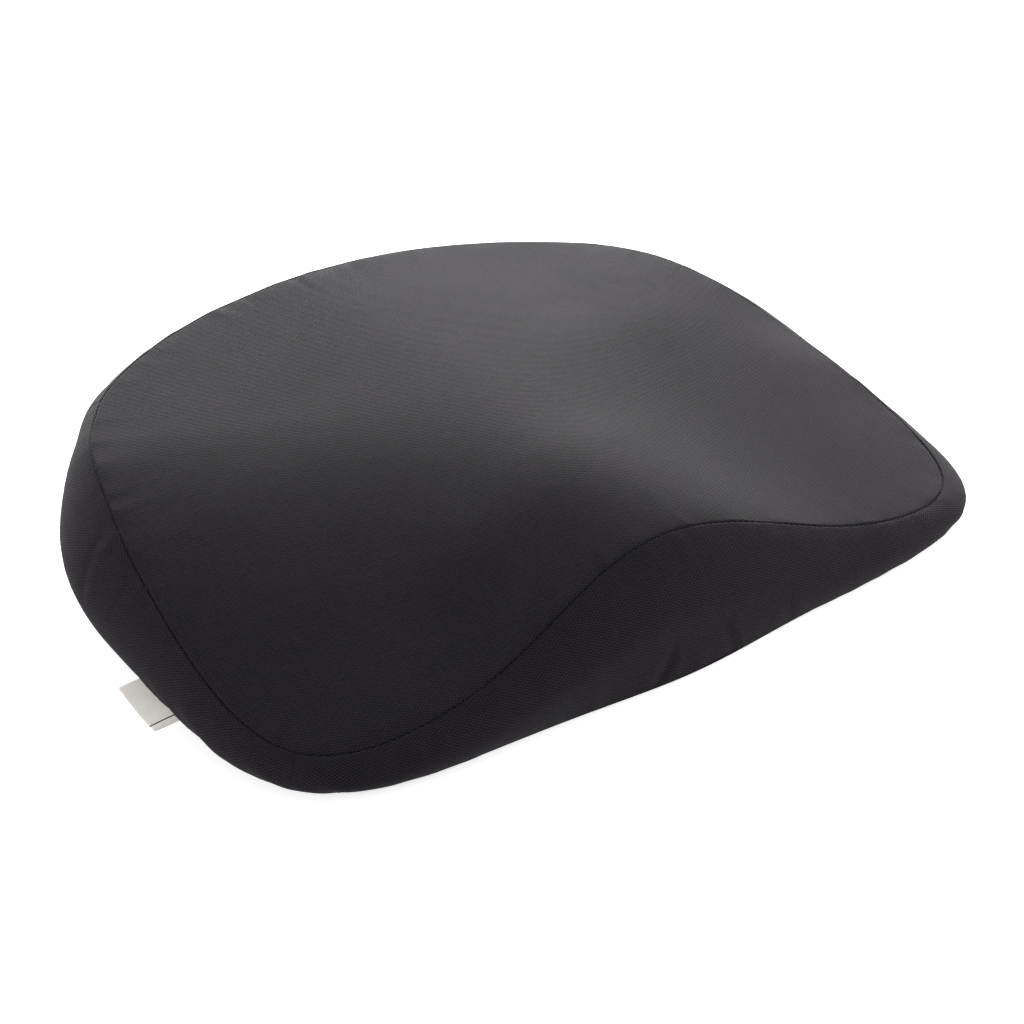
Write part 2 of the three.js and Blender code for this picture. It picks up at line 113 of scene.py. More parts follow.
# Height of the top over a place in plan
def topHeight(x, y):
    back = (y - frontFoot) / depth
    across = np.abs(x) / halfWidth
    soft = shape["sideSoft"]
    sides = shape["sideFall"] * (np.hypot(x, soft) - soft) / halfWidth
    rise = shape["riseStart"] + shape["riseBack"] * back - shape["riseSides"] * across ** 2
    wedge = shape["cornerFall"] * (1 - bell(x, shape["pommelSpread"])) * (1 - smoothStep(rise))
    start = shape["noseStart"]
    nose = np.maximum(0, start - (y - frontFoot)) / (start - shape["noseSeam"])
    noseFall = (rearHeight - shape["pommelHeight"]) * nose ** 2 * bell(x, shape["noseSpread"])
    worn = sum(h[3] * bell(np.hypot(x - h[0], y - h[1]), h[2]) for h in shape["hollows"])
    return rearHeight - sides - wedge - noseFall - worn


def topNormal(x, y):
    step = 0.5
    slopeX = (topHeight(x + step, y) - topHeight(x - step, y)) / (2 * step)
    slopeY = (topHeight(x, y + step) - topHeight(x, y - step)) / (2 * step)
    return unit(np.stack([-slopeX, -slopeY, np.ones_like(slopeX)], -1))


def unit(v):
    return v / np.linalg.norm(v, axis=-1, keepdims=True)


# Turns are measured at the middle of the plan, counterclockwise from straight back
def plainReach(turn):
    across, along = np.abs(np.sin(turn)), np.abs(np.cos(turn))
    rear = np.cos(turn) > 0
    power = np.where(rear, shape["rearSquareness"], shape["frontSquareness"])
    half = np.where(rear, rearHalf, shape["widestPlace"])
    return ((across / halfWidth) ** power + (along / half) ** power) ** (-1 / power)


def arcWeight(turn):
    x = np.abs(plainReach(turn) * np.sin(turn))
    weight = 1 - smoothStep((x - shape["arcReach"]) / shape["arcFade"])
    return np.where(np.cos(turn) > 0, weight, 0)


def crestPoint(turn):
    drop = widestY - arcCentreY
    along = drop * np.cos(turn)
    onArc = -along + np.sqrt(np.maximum(along ** 2 - drop ** 2 + arcRadius ** 2, 0))
    reach = mix(plainReach(turn), onArc, arcWeight(turn))
    return np.stack([-reach * np.sin(turn), widestY + reach * np.cos(turn)], -1)


def outwardAt(turn):
    step = math.radians(0.5)
    along = unit(crestPoint(turn + step) - crestPoint(turn - step))
    return np.stack([along[..., 1], -along[..., 0]], -1)


def tuckAt(tuck, turn):
    fromBack = np.degrees(np.arccos(np.cos(turn)))
    return tuck[0] + tuck[1] * bell(fromBack - 90 + tuck[2], tuck[3])


# Where the wall's crest, seam and foot are, for an array of turns
class Sections:
    def __init__(self, turn):
        self.turn = turn
        self.crest = crestPoint(turn)
        self.out = outwardAt(turn)
        moves = np.zeros((3, len(turn)))
        for middle, spread, *amounts in shape["settled"]:
            near = bell(np.degrees(np.arccos(np.cos(turn - math.radians(middle)))), spread)
            moves += near * np.array(amounts)[:, None]
        front = np.cos(turn) < 0
        leanSize = np.where(front, shape["frontLean"], shape["rearLean"])
        lean = leanSize * bell(self.crest[:, 0], shape["leanSpread"])
        step = np.where(front, shape["bottomTuck"][0] * bell(self.crest[:, 0], shape["footSpread"]), 0)
        self.seamInset = tuckAt(shape["seamTuck"], turn) + lean
        self.footInset = tuckAt(shape["bottomTuck"], turn) - step
        self.crest = self.crest + self.out * moves[0][:, None]
        self.seamInset += moves[0] - moves[1]
        self.footInset += moves[0] - moves[2]
        self.seam = self.crest - self.out * self.seamInset[:, None]
        self.seamZ = topHeight(self.seam[:, 0], self.seam[:, 1])
        self.weight = arcWeight(turn)
        crestZ = mix(shape["crestShare"] * self.seamZ, zipHeight, self.weight)
        self.low = crestZ - self.weight * shape["zipBand"] / 2
        self.high = crestZ + self.weight * shape["zipBand"] / 2

    # How far in the wall's face is, and how fast that changes, at heights given per turn
    def inset(self, z):
        below = np.clip(1 - z / self.low, 0, 1)
        above = np.clip((z - self.high) / (self.seamZ - self.high), 0, 1)
        return self.footInset * below ** 2 + self.seamInset * above ** 2

    def slope(self, z):
        below = np.clip(1 - z / self.low, 0, 1)
        above = np.clip((z - self.high) / (self.seamZ - self.high), 0, 1)
        upper = 2 * self.seamInset * above / (self.seamZ - self.high)
        return upper - 2 * self.footInset * below / self.low

    def wall(self, z):
        plan = self.crest - self.out * self.inset(z)[..., None]
        return np.concatenate([plan, z[..., None]], -1)

    def wallNormal(self, z):
        slope = self.slope(z)[..., None]
        out = np.broadcast_to(self.out, slope.shape[:-1] + (2,))
        return unit(np.concatenate([out, slope], -1))

    def seamPoint(self):
        return np.concatenate([self.seam, self.seamZ[:, None]], -1)

    # Direction that points straight out of the top seam, halfway between the two panels
    def seamOut(self):
        return unit(topNormal(self.seam[:, 0], self.seam[:, 1]) + self.wallNormal(self.seamZ))

    def footOut(self):
        return unit(self.wallNormal(self.low * 0) + np.array([0, 0, -1]))


# Distance along the top seam, for an array of turns
def runAlong(points):
    steps = np.linalg.norm(np.diff(points, axis=0), axis=1)
    return np.concatenate([[0], np.cumsum(steps)])


cover = {
    "ringSteps": 84,            # squares from the middle of the top out to its seam
    "thickness": 0.8,
    "rollRadius": 1.15,         # of the cloth where it turns down into a seam
    "rollDepth": 1.5,
    "shoulder": 0.45,           # how much the seam pulls the cloth in beside it
    "shoulderReach": 5.5,
    "pucker": 0.16,             # height of the small puckers beside the seams
    "puckerReach": 9,
    "topRun": 190, "wallRun": 200,  # mm of seam for each radian of turn, which sets the puckers' pitch
    "seamGap": 0.06,            # between the two panels in a seam
    "edgeBand": 9,              # mm at the top's edge that the fine rows take
    "footLift": 0.9,            # of the bottom seam above the floor
}
stationsAround = cover["ringSteps"] * 8
rollSteps = np.array([0, 0.015, 0.06, 0.14, 0.27, 0.45, 0.7, 1.0, 1.5, 2.2, 3.2])


# Smooth repeatable waves along a seam, as a function of the distance run
def waves(run, length, seed):
    draw = np.random.default_rng(seed)
    knots = draw.normal(0, 1, 4096)
    place = run / length
    low = np.floor(place).astype(int)
    part = smoothStep(place - low)
    return mix(knots[low % 4096], knots[(low + 1) % 4096], part)


def seamDip(distance):
    radius, full = cover["rollRadius"], cover["rollDepth"]
    inside = np.clip(1 - distance / radius, 0, 1)
    roll = full * (1 - np.sqrt(1 - inside ** 2))
    return roll + cover["shoulder"] * np.exp(-distance / cover["shoulderReach"])


# Creases and soft hollows in the wall: turn, share of the wall's height, and how they lie
wallCreases = [
    {"from": (128, 0.10), "to": (124, 0.55), "width": 3.0, "depth": 0.55},
    {"from": (121, 0.08), "to": (116, 0.46), "width": 3.4, "depth": 0.6},
    {"from": (112, 0.05), "to": (104, 0.52), "width": 4.0, "depth": 0.9},
    {"from": (107, 0.06), "to": (98, 0.42), "width": 3.2, "depth": 0.7},
    {"from": (101, 0.05), "to": (95, 0.30), "width": 2.6, "depth": 0.6},
    {"from": (172, 0.04), "to": (176, 0.34), "width": 3.6, "depth": 0.7},
    {"from": (189, 0.05), "to": (186, 0.32), "width": 3.4, "depth": 0.6},
    {"from": (202, 0.04), "to": (199, 0.26), "width": 3.0, "depth": 0.5},
    {"from": (232, 0.08), "to": (228, 0.60), "width": 3.2, "depth": 0.5},
    {"from": (252, 0.06), "to": (258, 0.55), "width": 3.6, "depth": 0.6},
    {"from": (266, 0.05), "to": (270, 0.45), "width": 3.2, "depth": 0.6},
    {"from": (72, 0.06), "to": (66, 0.50), "width": 3.6, "depth": 0.6},
    {"from": (84, 0.55), "to": (80, 0.96), "width": 3.2, "depth": 0.5},
    {"from": (40, 0.60), "to": (44, 0.95), "width": 3.4, "depth": 0.4},
    {"from": (-36, 0.58), "to": (-40, 0.95), "width": 3.4, "depth": 0.4},
    {"from": (12, 0.06), "to": (9, 0.30), "width": 3.4, "depth": 0.4},
    {"from": (-20, 0.05), "to": (-17, 0.30), "width": 3.4, "depth": 0.4},
]


# Distance out along the wall's normal that the creases move it. share runs from foot to seam.
def creaseMove(turn, share, height):
    perTurn = 3.6                                # mm of wall for each degree
    degrees = np.degrees(turn)
    moved = np.zeros_like(share)
    for crease in wallCreases:
        startTurn, startShare = crease["from"]
        endTurn, endShare = crease["to"]
        alongX, alongY = (endTurn - startTurn) * perTurn, (endShare - startShare) * height
        offX, offY = (degrees - startTurn) * perTurn, (share - startShare) * height
        length2 = alongX ** 2 + alongY ** 2
        place = (offX * alongX + offY * alongY) / length2
        aside = (offX * alongY - offY * alongX) / np.sqrt(length2)
        fade = smoothStep((place + 0.15) * 4) * smoothStep((1.1 - place) * 2.2)
        beside = bell(aside - 1.9 * crease["width"], 1.3 * crease["width"])
        ridge = bell(aside, crease["width"]) - 0.55 * beside
        moved -= crease["depth"] * fade * ridge
    return moved


# A closed sheet: the outer face as given, an inner face behind it, and an edge between them
def thickSheet(verts, faces, thickness):
    count = len(verts)
    quads = np.array([f if len(f) == 4 else (f[0], f[1], f[2], f[2]) for f in faces])
    a, b, c, d = (verts[quads[:, k]] for k in range(4))
    across = np.cross(c - a, d - b)
    across = np.where(np.linalg.norm(across, axis=1, keepdims=True) < 1e-12, np.cross(b - a, c - a), across)
    normals = np.zeros_like(verts)
    for k in range(4):
        np.add.at(normals, quads[:, k], across)
    normals = normals / np.maximum(np.linalg.norm(normals, axis=1, keepdims=True), 1e-12)
    inner = verts - normals * thickness
    edges = {}
    for f in faces:
        for k in range(len(f)):
            edges[(f[k], f[(k + 1) % len(f)])] = True
    rim = [(p, q) for p, q in edges if (q, p) not in edges]
    allFaces = [tuple(f) for f in faces]
    allFaces += [tuple(v + count for v in reversed(f)) for f in faces]
    allFaces += [(q, p, p + count, q + count) for p, q in rim]
    return np.concatenate([verts, inner]), allFaces


def meshObject(name, verts, faces, uv=None, smooth=True):
    mesh = bpy.data.meshes.new(name)
    mesh.from_pydata((np.asarray(verts) * mm).tolist(), [], [tuple(int(v) for v in f) for f in faces])
    if smooth:
        mesh.polygons.foreach_set("use_smooth", [True] * len(mesh.polygons))
    if uv is not None:
        loops = np.zeros(len(mesh.loops), np.int32)
        mesh.loops.foreach_get("vertex_index", loops)
        layer = mesh.uv_layers.new(name="weave")
        layer.data.foreach_set("uv", np.asarray(uv, np.float32)[loops].ravel())
    mesh.update()
    piece = bpy.data.objects.new(name, mesh)
    scene.collection.objects.link(piece)
    return piece


def gridFaces(rows, columns, closed=False, start=0):
    faces = []
    last = columns if closed else columns - 1
    for r in range(rows - 1):
        for c in range(last):
            here, beside = start + r * columns + c, start + r * columns + (c + 1) % columns
            faces.append((here, beside, beside + columns, here + columns))
    return faces


# Several closed rods, such as stitches. Each has a start, an end and a direction that faces out.
def stitchMesh(starts, ends, outs, radius, sag, sides=6, steps=4):
    verts, faces = [], []
    ring = [(math.cos(2 * math.pi * k / sides), math.sin(2 * math.pi * k / sides)) for k in range(sides)]
    for start, end, out in zip(starts, ends, outs):
        along = unit(end - start)
        beside = unit(np.cross(along, out))
        base = len(verts)
        for i in range(steps + 1):
            t = i / steps
            middle = mix(start, end, t) + out * sag * math.sin(math.pi * t)
            thick = radius * (0.45 + 0.55 * math.sin(math.pi * min(max(t, 0.12), 0.88)))
            for x, y in ring:
                verts.append(middle + beside * x * thick + out * y * thick)
        for i in range(steps):
            for k in range(sides):
                here, following = base + i * sides + k, base + i * sides + (k + 1) % sides
                faces.append((here, following, following + sides, here + sides))
        faces.append(tuple(base + k for k in reversed(range(sides))))
        faces.append(tuple(base + steps * sides + k for k in range(sides)))
    return np.array(verts), faces


slack = {
    "columns": 300, "wallRows": 12, "topRows": 12, "topReach": 62,
    "pressure": 3.2, "looseness": 0.0, "frames": 20,
    "limit": 0.5,               # mm that a point may move
    "gain": 0.3,
}


# Runs the wall and the outer part of the top as loose cloth held at its seams, and returns how far
# each point of that band moves out, as rows from the foot to the inner edge of the band.
def settleCloth():
    columns = slack["columns"]
    turn = np.arange(columns) * 2 * math.pi / columns
    at = Sections(turn)
    shares = np.linspace(0, 1, slack["wallRows"] + 1)
    z = shares[:, None] * at.seamZ
    wall, wallOut = at.wall(z), at.wallNormal(z)
    inward = unit(np.array([0, widestY]) - at.seam)
    reach = np.linspace(0, slack["topReach"], slack["topRows"] + 1)[1:, None, None]
    plan = at.seam + inward * reach
    top = np.concatenate([plan, topHeight(plan[..., 0], plan[..., 1])[..., None]], -1)
    band = np.concatenate([wall, top])
    outs = np.concatenate([wallOut, topNormal(plan[..., 0], plan[..., 1])])
    rows = len(band)
    rough = np.zeros((rows, columns))
    for r in range(rows):
        for c in range(columns):
            rough[r, c] = noise.noise(Vector(band[r, c] / 17.0))
    held = np.zeros(rows, bool)
    held[[0, slack["wallRows"], rows - 1]] = True
    rough[held] = 0
    start = band + outs * (rough * 0.35)[..., None]
    piece = meshObject("clothTrial", start.reshape(-1, 3), gridFaces(rows, columns, closed=True))
    group = piece.vertex_groups.new(name="held")
    heldVerts = [int(v) for r in np.flatnonzero(held) for v in range(r * columns, (r + 1) * columns)]
    group.add(heldVerts, 1.0, "REPLACE")
    cloth = piece.modifiers.new("cloth", "CLOTH")
    cloth.settings.vertex_group_mass = "held"
    cloth.settings.quality = 6
    cloth.settings.mass = 0.3
    cloth.settings.tension_stiffness = 18
    cloth.settings.compression_stiffness = 18
    cloth.settings.shear_stiffness = 8
    cloth.settings.bending_stiffness = 0.6
    cloth.settings.air_damping = 2
    cloth.settings.shrink_min = slack["looseness"]
    cloth.settings.use_pressure = True
    cloth.settings.uniform_pressure_force = slack["pressure"]
    cloth.settings.effector_weights.gravity = 0
    cloth.collision_settings.use_collision = False
    cloth.point_cache.frame_start = 1
    cloth.point_cache.frame_end = slack["frames"]
    for step in range(1, slack["frames"] + 1):
        scene.frame_set(step)
    settled = piece.evaluated_get(bpy.context.evaluated_depsgraph_get()).to_mesh()
    points = np.zeros(len(settled.vertices) * 3, np.float32)
    settled.vertices.foreach_get("co", points)
    scene.frame_set(1)
    bpy.data.objects.remove(piece)
    moved = ((points.reshape(rows, columns, 3) / mm - band) * outs).sum(-1)
    # The wide swell is left out, because the shape's own sizes hold it. The small folds stay.
    wide = moved.copy()
    for _ in range(60):
        wide = (np.roll(wide, 1, 1) + np.roll(wide, -1, 1) + 2 * wide) / 4
    small = np.clip((moved - wide) * slack["gain"], -slack["limit"], slack["limit"])
    print("cushion: cloth moved", round(float(moved.min()), 2), round(float(moved.max()), 2),
          "folds kept", round(float(np.abs(small).max()), 2), "mm")
    return small


# Reads the band at turns and row places, with smooth steps between its points
def readBand(band, turn, row):
    rows, columns = band.shape
    c = np.mod(turn / (2 * math.pi), 1) * columns
    r = np.clip(row, 0, rows - 1.001)
    c0, r0 = np.floor(c).astype(int), np.floor(r).astype(int)
    cf, rf = smoothStep(c - c0), smoothStep(r - r0)
    c1 = (c0 + 1) % columns
    c0 = c0 % columns
    low = mix(band[r0, c0], band[r0, c1], cf)
    high = mix(band[r0 + 1, c0], band[r0 + 1, c1], cf)
    return mix(low, high, rf)


clothBand = settleCloth()
say("cloth settled")


# How far the top is moved out of its plain shape, at a distance in from the seam
def topMove(turn, inward, x, y):
    fade = np.exp(-inward / cover["puckerReach"])
    run = turn * cover["topRun"]
    small = cover["pucker"] * fade * (waves(run, 7, 3) + 0.6 * waves(run, 15, 4))
    soft = 0.16 * waves(x * 0.8 + y * 0.6 + 900, 46, 8) * waves(y * 0.8 - x * 0.6 + 900, 38, 9)
    row = slack["wallRows"] + inward / slack["topReach"] * slack["topRows"]
    ends = smoothStep((slack["topReach"] - inward) / 15) * smoothStep(inward / 3)
    folds = readBand(clothBand, turn, row) * ends
    return small * smoothStep(inward / 1.5) + soft * smoothStep(inward / 12) + folds


def wallMove(turn, share, height):
    fromTop, fromFoot = (1 - share) * height, share * height
    run = turn * cover["wallRun"]
    small = np.exp(-fromTop / cover["puckerReach"]) * (waves(run, 7.5, 5) + 0.7 * waves(run, 17, 6))
    small += 1.3 * np.exp(-fromFoot / 10) * (waves(run, 8, 7) + 0.8 * waves(run, 21, 10))
    nearSeam = smoothStep(np.minimum(fromTop, fromFoot) / 2.0)
    folds = readBand(clothBand, turn, share * slack["wallRows"])
    return (cover["pucker"] * small + creaseMove(turn, share, height) + folds) * nearSeam


# The top panel: a square net laid into the outline, then fine rows that turn down into the seam
def topPanel():
    rings = cover["ringSteps"]
    columns = stationsAround
    edgeBand = cover["edgeBand"]
    turn = np.arange(columns) * 2 * math.pi / columns
    at = Sections(turn)
    inward = np.array([0, widestY]) - at.seam
    length = np.linalg.norm(inward, axis=1)
    verts, faces, turns, insides = [], [], [], []
    starts = []
    for k in range(rings + 1):
        count = max(1, 8 * k)
        starts.append(len(verts))
        ringTurn = np.arange(count) * 2 * math.pi / count
        ring = Sections(ringTurn)
        whole = np.linalg.norm(ring.seam - np.array([0, widestY]), axis=1)
        share = k / rings * (1 - edgeBand / whole)
        plan = np.array([0, widestY]) + (ring.seam - np.array([0, widestY])) * share[:, None]
        for t, p, s, w in zip(ringTurn, plan, share, whole):
            verts.append(p)
            turns.append(t)
            insides.append((1 - s) * w)
    # Between two rings each eighth gains one step, so every eighth closes with one triangle
    for k in range(rings):
        inner, outer = starts[k], starts[k + 1]
        if k == 0:
            for c in range(8):
                faces.append((inner, outer + (c + 1) % 8, outer + c))
            continue
        innerCount, outerCount = 8 * k, 8 * (k + 1)
        for eighth in range(8):
            for c in range(k):
                i0 = inner + eighth * k + c
                i1 = inner + (eighth * k + c + 1) % innerCount
                o0 = outer + eighth * (k + 1) + c
                o1 = outer + (eighth * (k + 1) + c + 1) % outerCount
                faces.append((i0, i1, o1, o0))
            corner = inner + (eighth * k + k) % innerCount
            o0 = outer + eighth * (k + 1) + k
            o1 = outer + (eighth * (k + 1) + k + 1) % outerCount
            faces.append((corner, o1, o0))
    plan = np.array(verts)
    turns, insides = np.array(turns), np.array(insides)
    # Fine rows outside the last ring
    radius = cover["rollRadius"]
    flatSteps = np.linspace(rollSteps[-1] * radius, edgeBand, 5)[1:-1]
    distances = np.concatenate([rollSteps * radius, flatSteps])[::-1]
    direction = inward / length[:, None]
    slope = topNormal(at.seam[:, 0], at.seam[:, 1])
    shrink = np.clip(1 / np.sqrt(1 + ((slope[:, :2] * direction).sum(1) / slope[:, 2]) ** 2), 0.3, 1)
    shares = [mix(shrink, 1, min(d / edgeBand, 1)) for d in distances]
    rowsPlan = [at.seam + direction * (d * share)[:, None] for d, share in zip(distances, shares)]
    rowPlace = np.concatenate(rowsPlan)
    base = len(plan)
    plan = np.concatenate([plan, rowPlace])
    turns = np.concatenate([turns, np.tile(turn, len(distances))])
    insides = np.concatenate([insides, np.repeat(distances, columns)])
    previous = starts[rings]
    for r in range(len(distances)):
        here = base + r * columns
        for c in range(columns):
            n = (c + 1) % columns
            faces.append((previous + c, previous + n, here + n, here + c))
        previous = here
    faces = [tuple(reversed(f)) for f in faces]
    x, y = plan[:, 0], plan[:, 1]
    surface = np.stack([x, y, topHeight(x, y)], -1)
    normal = topNormal(x, y)
    surface += normal * topMove(turns, insides, x, y)[:, None]
    sinkWay = Sections(turns).seamOut()
    near = smoothStep(1 - insides / 30)[:, None]
    way = unit(mix(normal, sinkWay, near))
    surface -= way * seamDip(insides)[:, None]
    gap = cover["seamGap"] * smoothStep(1 - insides / 3)
    surface[:, :2] += unit(np.array([0, widestY]) - surface[:, :2] + 1e-9) * gap[:, None]
    verts, faces = thickSheet(surface, faces, cover["thickness"])
    uv = np.concatenate([plan, plan])
    return meshObject("coverTop", verts, faces, uv)


# Rows up the wall at even distances along its face, with fine rows at each seam
def wallRows(at, lowZ, highZ, fineLow=True, fineHigh=True, steps=22):
    samples = np.linspace(0, 1, 90)[:, None]
    z = mix(lowZ, highZ, samples)
    points = at.wall(z)
    lengths = np.zeros(z.shape)
    lengths[1:] = np.cumsum(np.linalg.norm(np.diff(points, axis=0), axis=2), axis=0)
    whole = lengths[-1]
    radius = cover["rollRadius"]
    fine = rollSteps * radius
    heights, distances = [], []
    for c in range(len(at.turn)):
        low = fine if fineLow else np.array([0.0])
        high = whole[c] - fine[::-1] if fineHigh else np.array([whole[c]])
        between = np.linspace(low[-1], high[0], steps)[1:-1]
        place = np.concatenate([low, between, high])
        heights.append(np.interp(place, lengths[:, c], z[:, c]))
        distances.append(place)
    return np.array(heights).T, np.array(distances).T, whole


# Part of the wall between two heights, as a closed sheet whose weave runs with the strip
def wallPanel(name, fromTurn, toTurn, lowZ, highZ, footSeam, topSeam, steps=22):
    span = toTurn - fromTurn
    columns = max(8, int(round(stationsAround * span / 360)))
    turn = np.radians(np.linspace(fromTurn, toTurn, columns))
    at = Sections(turn)
    low = lowZ(at)
    high = highZ(at)
    z, place, whole = wallRows(at, low, high, footSeam, topSeam, steps)
    surface, normal = at.wall(z), at.wallNormal(z)
    share = z / at.seamZ
    turns = np.broadcast_to(turn, z.shape)
    surface = surface + normal * wallMove(turns, share, np.broadcast_to(at.seamZ, z.shape))[..., None]
    fromLow, fromHigh = place, whole - place
    if topSeam:
        way = unit(mix(normal, at.seamOut(), smoothStep(1 - fromHigh / 30)[..., None]))
        surface = surface - way * seamDip(fromHigh)[..., None]
        surface[..., 2] -= cover["seamGap"] * smoothStep(1 - fromHigh / 3)
    if footSeam:
        way = unit(mix(normal, at.footOut(), smoothStep(1 - fromLow / 30)[..., None]))
        surface = surface - way * seamDip(fromLow)[..., None]
        surface[..., 2] = np.maximum(surface[..., 2], cover["footLift"] * 0.25)
    run = runAlong(at.crest)
    uv = np.stack([np.broadcast_to(run, z.shape), place], -1).reshape(-1, 2)
    rows = len(z)
    verts, faces = thickSheet(surface.reshape(-1, 3), gridFaces(rows, columns), cover["thickness"])
    return meshObject(name, verts, faces, np.concatenate([uv, uv]))


base = {
    "lift": 0.55,               # of the cloth above the floor, by its dots
    "dotSpacing": 11, "dotRadius": 1.5, "dotEdge": 7,
}


def footLine(turn):
    at = Sections(turn)
    return at.crest - at.out * at.footInset[:, None]


def basePanel():
    columns = stationsAround
    turn = np.arange(columns) * 2 * math.pi / columns
    foot = footLine(turn)
    middle = np.array([0, widestY])
    reach = np.linalg.norm(foot - middle, axis=1)
    verts = []
    fine = rollSteps[:8] * cover["rollRadius"]
    distances = list(fine) + [4, 9, 16]
    shares = [1 - d / reach for d in distances] + [np.full(columns, s) for s in np.linspace(0.86, 0.04, 24)]
    for share in shares:
        plan = middle + (foot - middle) * share[:, None]
        inside = (1 - share) * reach
        rise = (cover["footLift"] + 0.5) * (1 - np.sqrt(1 - np.clip(1 - inside / 1.6, 0, 1) ** 2))
        ripple = 0.12 * waves(plan[:, 0] + 700, 31, 11) * waves(plan[:, 1] + 700, 27, 12)
        z = base["lift"] + rise + np.abs(ripple) * smoothStep(inside / 10)
        verts.append(np.concatenate([plan, z[:, None]], 1))
    rows = len(verts)
    points = np.concatenate(verts + [np.array([[0, widestY, base["lift"]]])])
    faces = gridFaces(rows, columns, closed=True)
    last = (rows - 1) * columns
    centre = rows * columns
    faces += [(last + c, last + (c + 1) % columns, centre) for c in range(columns)]
    faces = [tuple(reversed(f)) for f in faces]
    flipped = [tuple(reversed(f)) for f in faces]
    verts2, faces2 = thickSheet(points, flipped if faceDown(points, flipped) else faces, cover["thickness"])
    plan = points[:, :2]
    return meshObject("coverBase", verts2, faces2, np.concatenate([plan, plan]))


def faceDown(points, faces):
    a, b, c = (points[faces[0][k]] for k in range(3))
    return np.cross(b - a, c - a)[2] < 0


# Low round dots of grip under the base, in a staggered net
def gripDots():
    spacing, radius = base["dotSpacing"], base["dotRadius"]
    fine = np.linspace(0, 2 * math.pi, 361)[:-1]
    foot = footLine(fine)
    footTurn = np.unwrap(np.arctan2(-foot[:, 0], foot[:, 1] - widestY))
    footReach = np.linalg.norm(foot - np.array([0, widestY]), axis=1)
    order = np.argsort(np.mod(footTurn, 2 * math.pi))
    verts, faces = [], []
    sides = 12
    profile = [(1.0, base["lift"] + 0.2), (0.97, 0.22), (0.78, 0.04), (0.5, 0.0)]
    rowStep = spacing * math.sqrt(3) / 2
    for j in range(-40, 41):
        for i in range(-40, 41):
            x = (i + (j % 2) / 2) * spacing
            y = j * rowStep
            t = math.atan2(-x, y - widestY) % (2 * math.pi)
            limit = np.interp(t, np.mod(footTurn, 2 * math.pi)[order], footReach[order])
            if math.hypot(x, y - widestY) > limit - base["dotEdge"]:
                continue
            start = len(verts)
            for share, z in profile:
                for k in range(sides):
                    angle = 2 * math.pi * k / sides
                    reach = radius * share
                    verts.append((x + reach * math.cos(angle), y + reach * math.sin(angle), z))
            for r in range(len(profile) - 1):
                for k in range(sides):
                    a, b = start + r * sides + k, start + r * sides + (k + 1) % sides
                    faces.append((a, a + sides, b + sides, b))
            faces.append(tuple(start + k for k in range(sides)))
            end = start + (len(profile) - 1) * sides
            faces.append(tuple(end + k for k in reversed(range(sides))))
    return meshObject("gripDots", np.array(verts), faces)


coverTop = topPanel()
coverSides = wallPanel("coverSides", rearPanelTurn + 0.03, 360 - rearPanelTurn - 0.03,
                       lambda at: np.full(len(at.turn), cover["footLift"]), lambda at: at.seamZ, True, True)
say("cover panels")

slot = {"height": 10, "closed": 0.16, "closeStart": 2.5, "closeLength": 3.5, "chain": 300}


# Half the height of the zip's opening. The two strips come together just past the ends of the chain.
def slotHalf(at):
    along = arcRadius * np.arcsin(np.clip(np.abs(at.crest[:, 0]) / arcRadius, 0, 1))
    past = (along - slot["chain"] / 2 - slot["closeStart"]) / slot["closeLength"]
    return mix(slot["height"], slot["closed"], smoothStep(past)) / 2


rearStripUpper = wallPanel("rearStripUpper", -rearPanelTurn, rearPanelTurn,
                           lambda at: zipHeight + slotHalf(at), lambda at: at.seamZ, False, True)
rearStripLower = wallPanel("rearStripLower", -rearPanelTurn, rearPanelTurn,
                           lambda at: np.full(len(at.turn), cover["footLift"]),
                           lambda at: zipHeight - slotHalf(at), True, False)
coverBase = basePanel()
grip = gripDots()
say("rear strips and base")

coverPieces = {"coverTop": (coverTop, "top_panel"), "coverSides": (coverSides, "side_boxing"),
               "rearStripUpper": (rearStripUpper, "rear_boxing_upper"),
               "rearStripLower": (rearStripLower, "rear_boxing_lower"),
               "coverBase": (coverBase, "bottom_panel")}


stitches = {"pitch": 3.4, "length": 2.7, "radius": 0.26, "sag": 0.1}


# Places at even distances along a closed line of points
def evenPlaces(points, pitch):
    closed = np.concatenate([points, points[:1]])
    run = runAlong(closed)
    count = int(run[-1] / pitch)
    places = (np.arange(count) + 0.5) * run[-1] / count
    return np.stack([np.interp(places, run, closed[:, k]) for k in range(closed.shape[1])], -1)


def seamStitches(name, line, outs):
    data = evenPlaces(np.concatenate([line, outs], 1), stitches["pitch"])
    middle, out = data[:, :3], unit(data[:, 3:])
    along = unit(np.roll(middle, -1, 0) - np.roll(middle, 1, 0))
    half = along * stitches["length"] / 2
    verts, faces = stitchMesh(middle - half, middle + half, out, stitches["radius"], stitches["sag"])
    return meshObject(name, verts, faces)


fineTurn = np.linspace(0, 2 * math.pi, 721)[:-1]
fine = Sections(fineTurn)
seamDepth = cover["rollDepth"] + cover["shoulder"] - 0.5
topStitches = seamStitches("topSeamStitches", fine.seamPoint() - fine.seamOut() * seamDepth, fine.seamOut())
footZ = np.full(len(fineTurn), cover["footLift"] + 0.35)
footPoint = fine.wall(footZ) - fine.wallNormal(footZ) * 1.0
bottomStitches = seamStitches("bottomSeamStitches", footPoint, fine.wallNormal(footZ))
say("seam stitches")


foam = {"clearance": 2.8, "columns": 160, "rings": 20, "recess": 6.4, "recessHalf": 7}


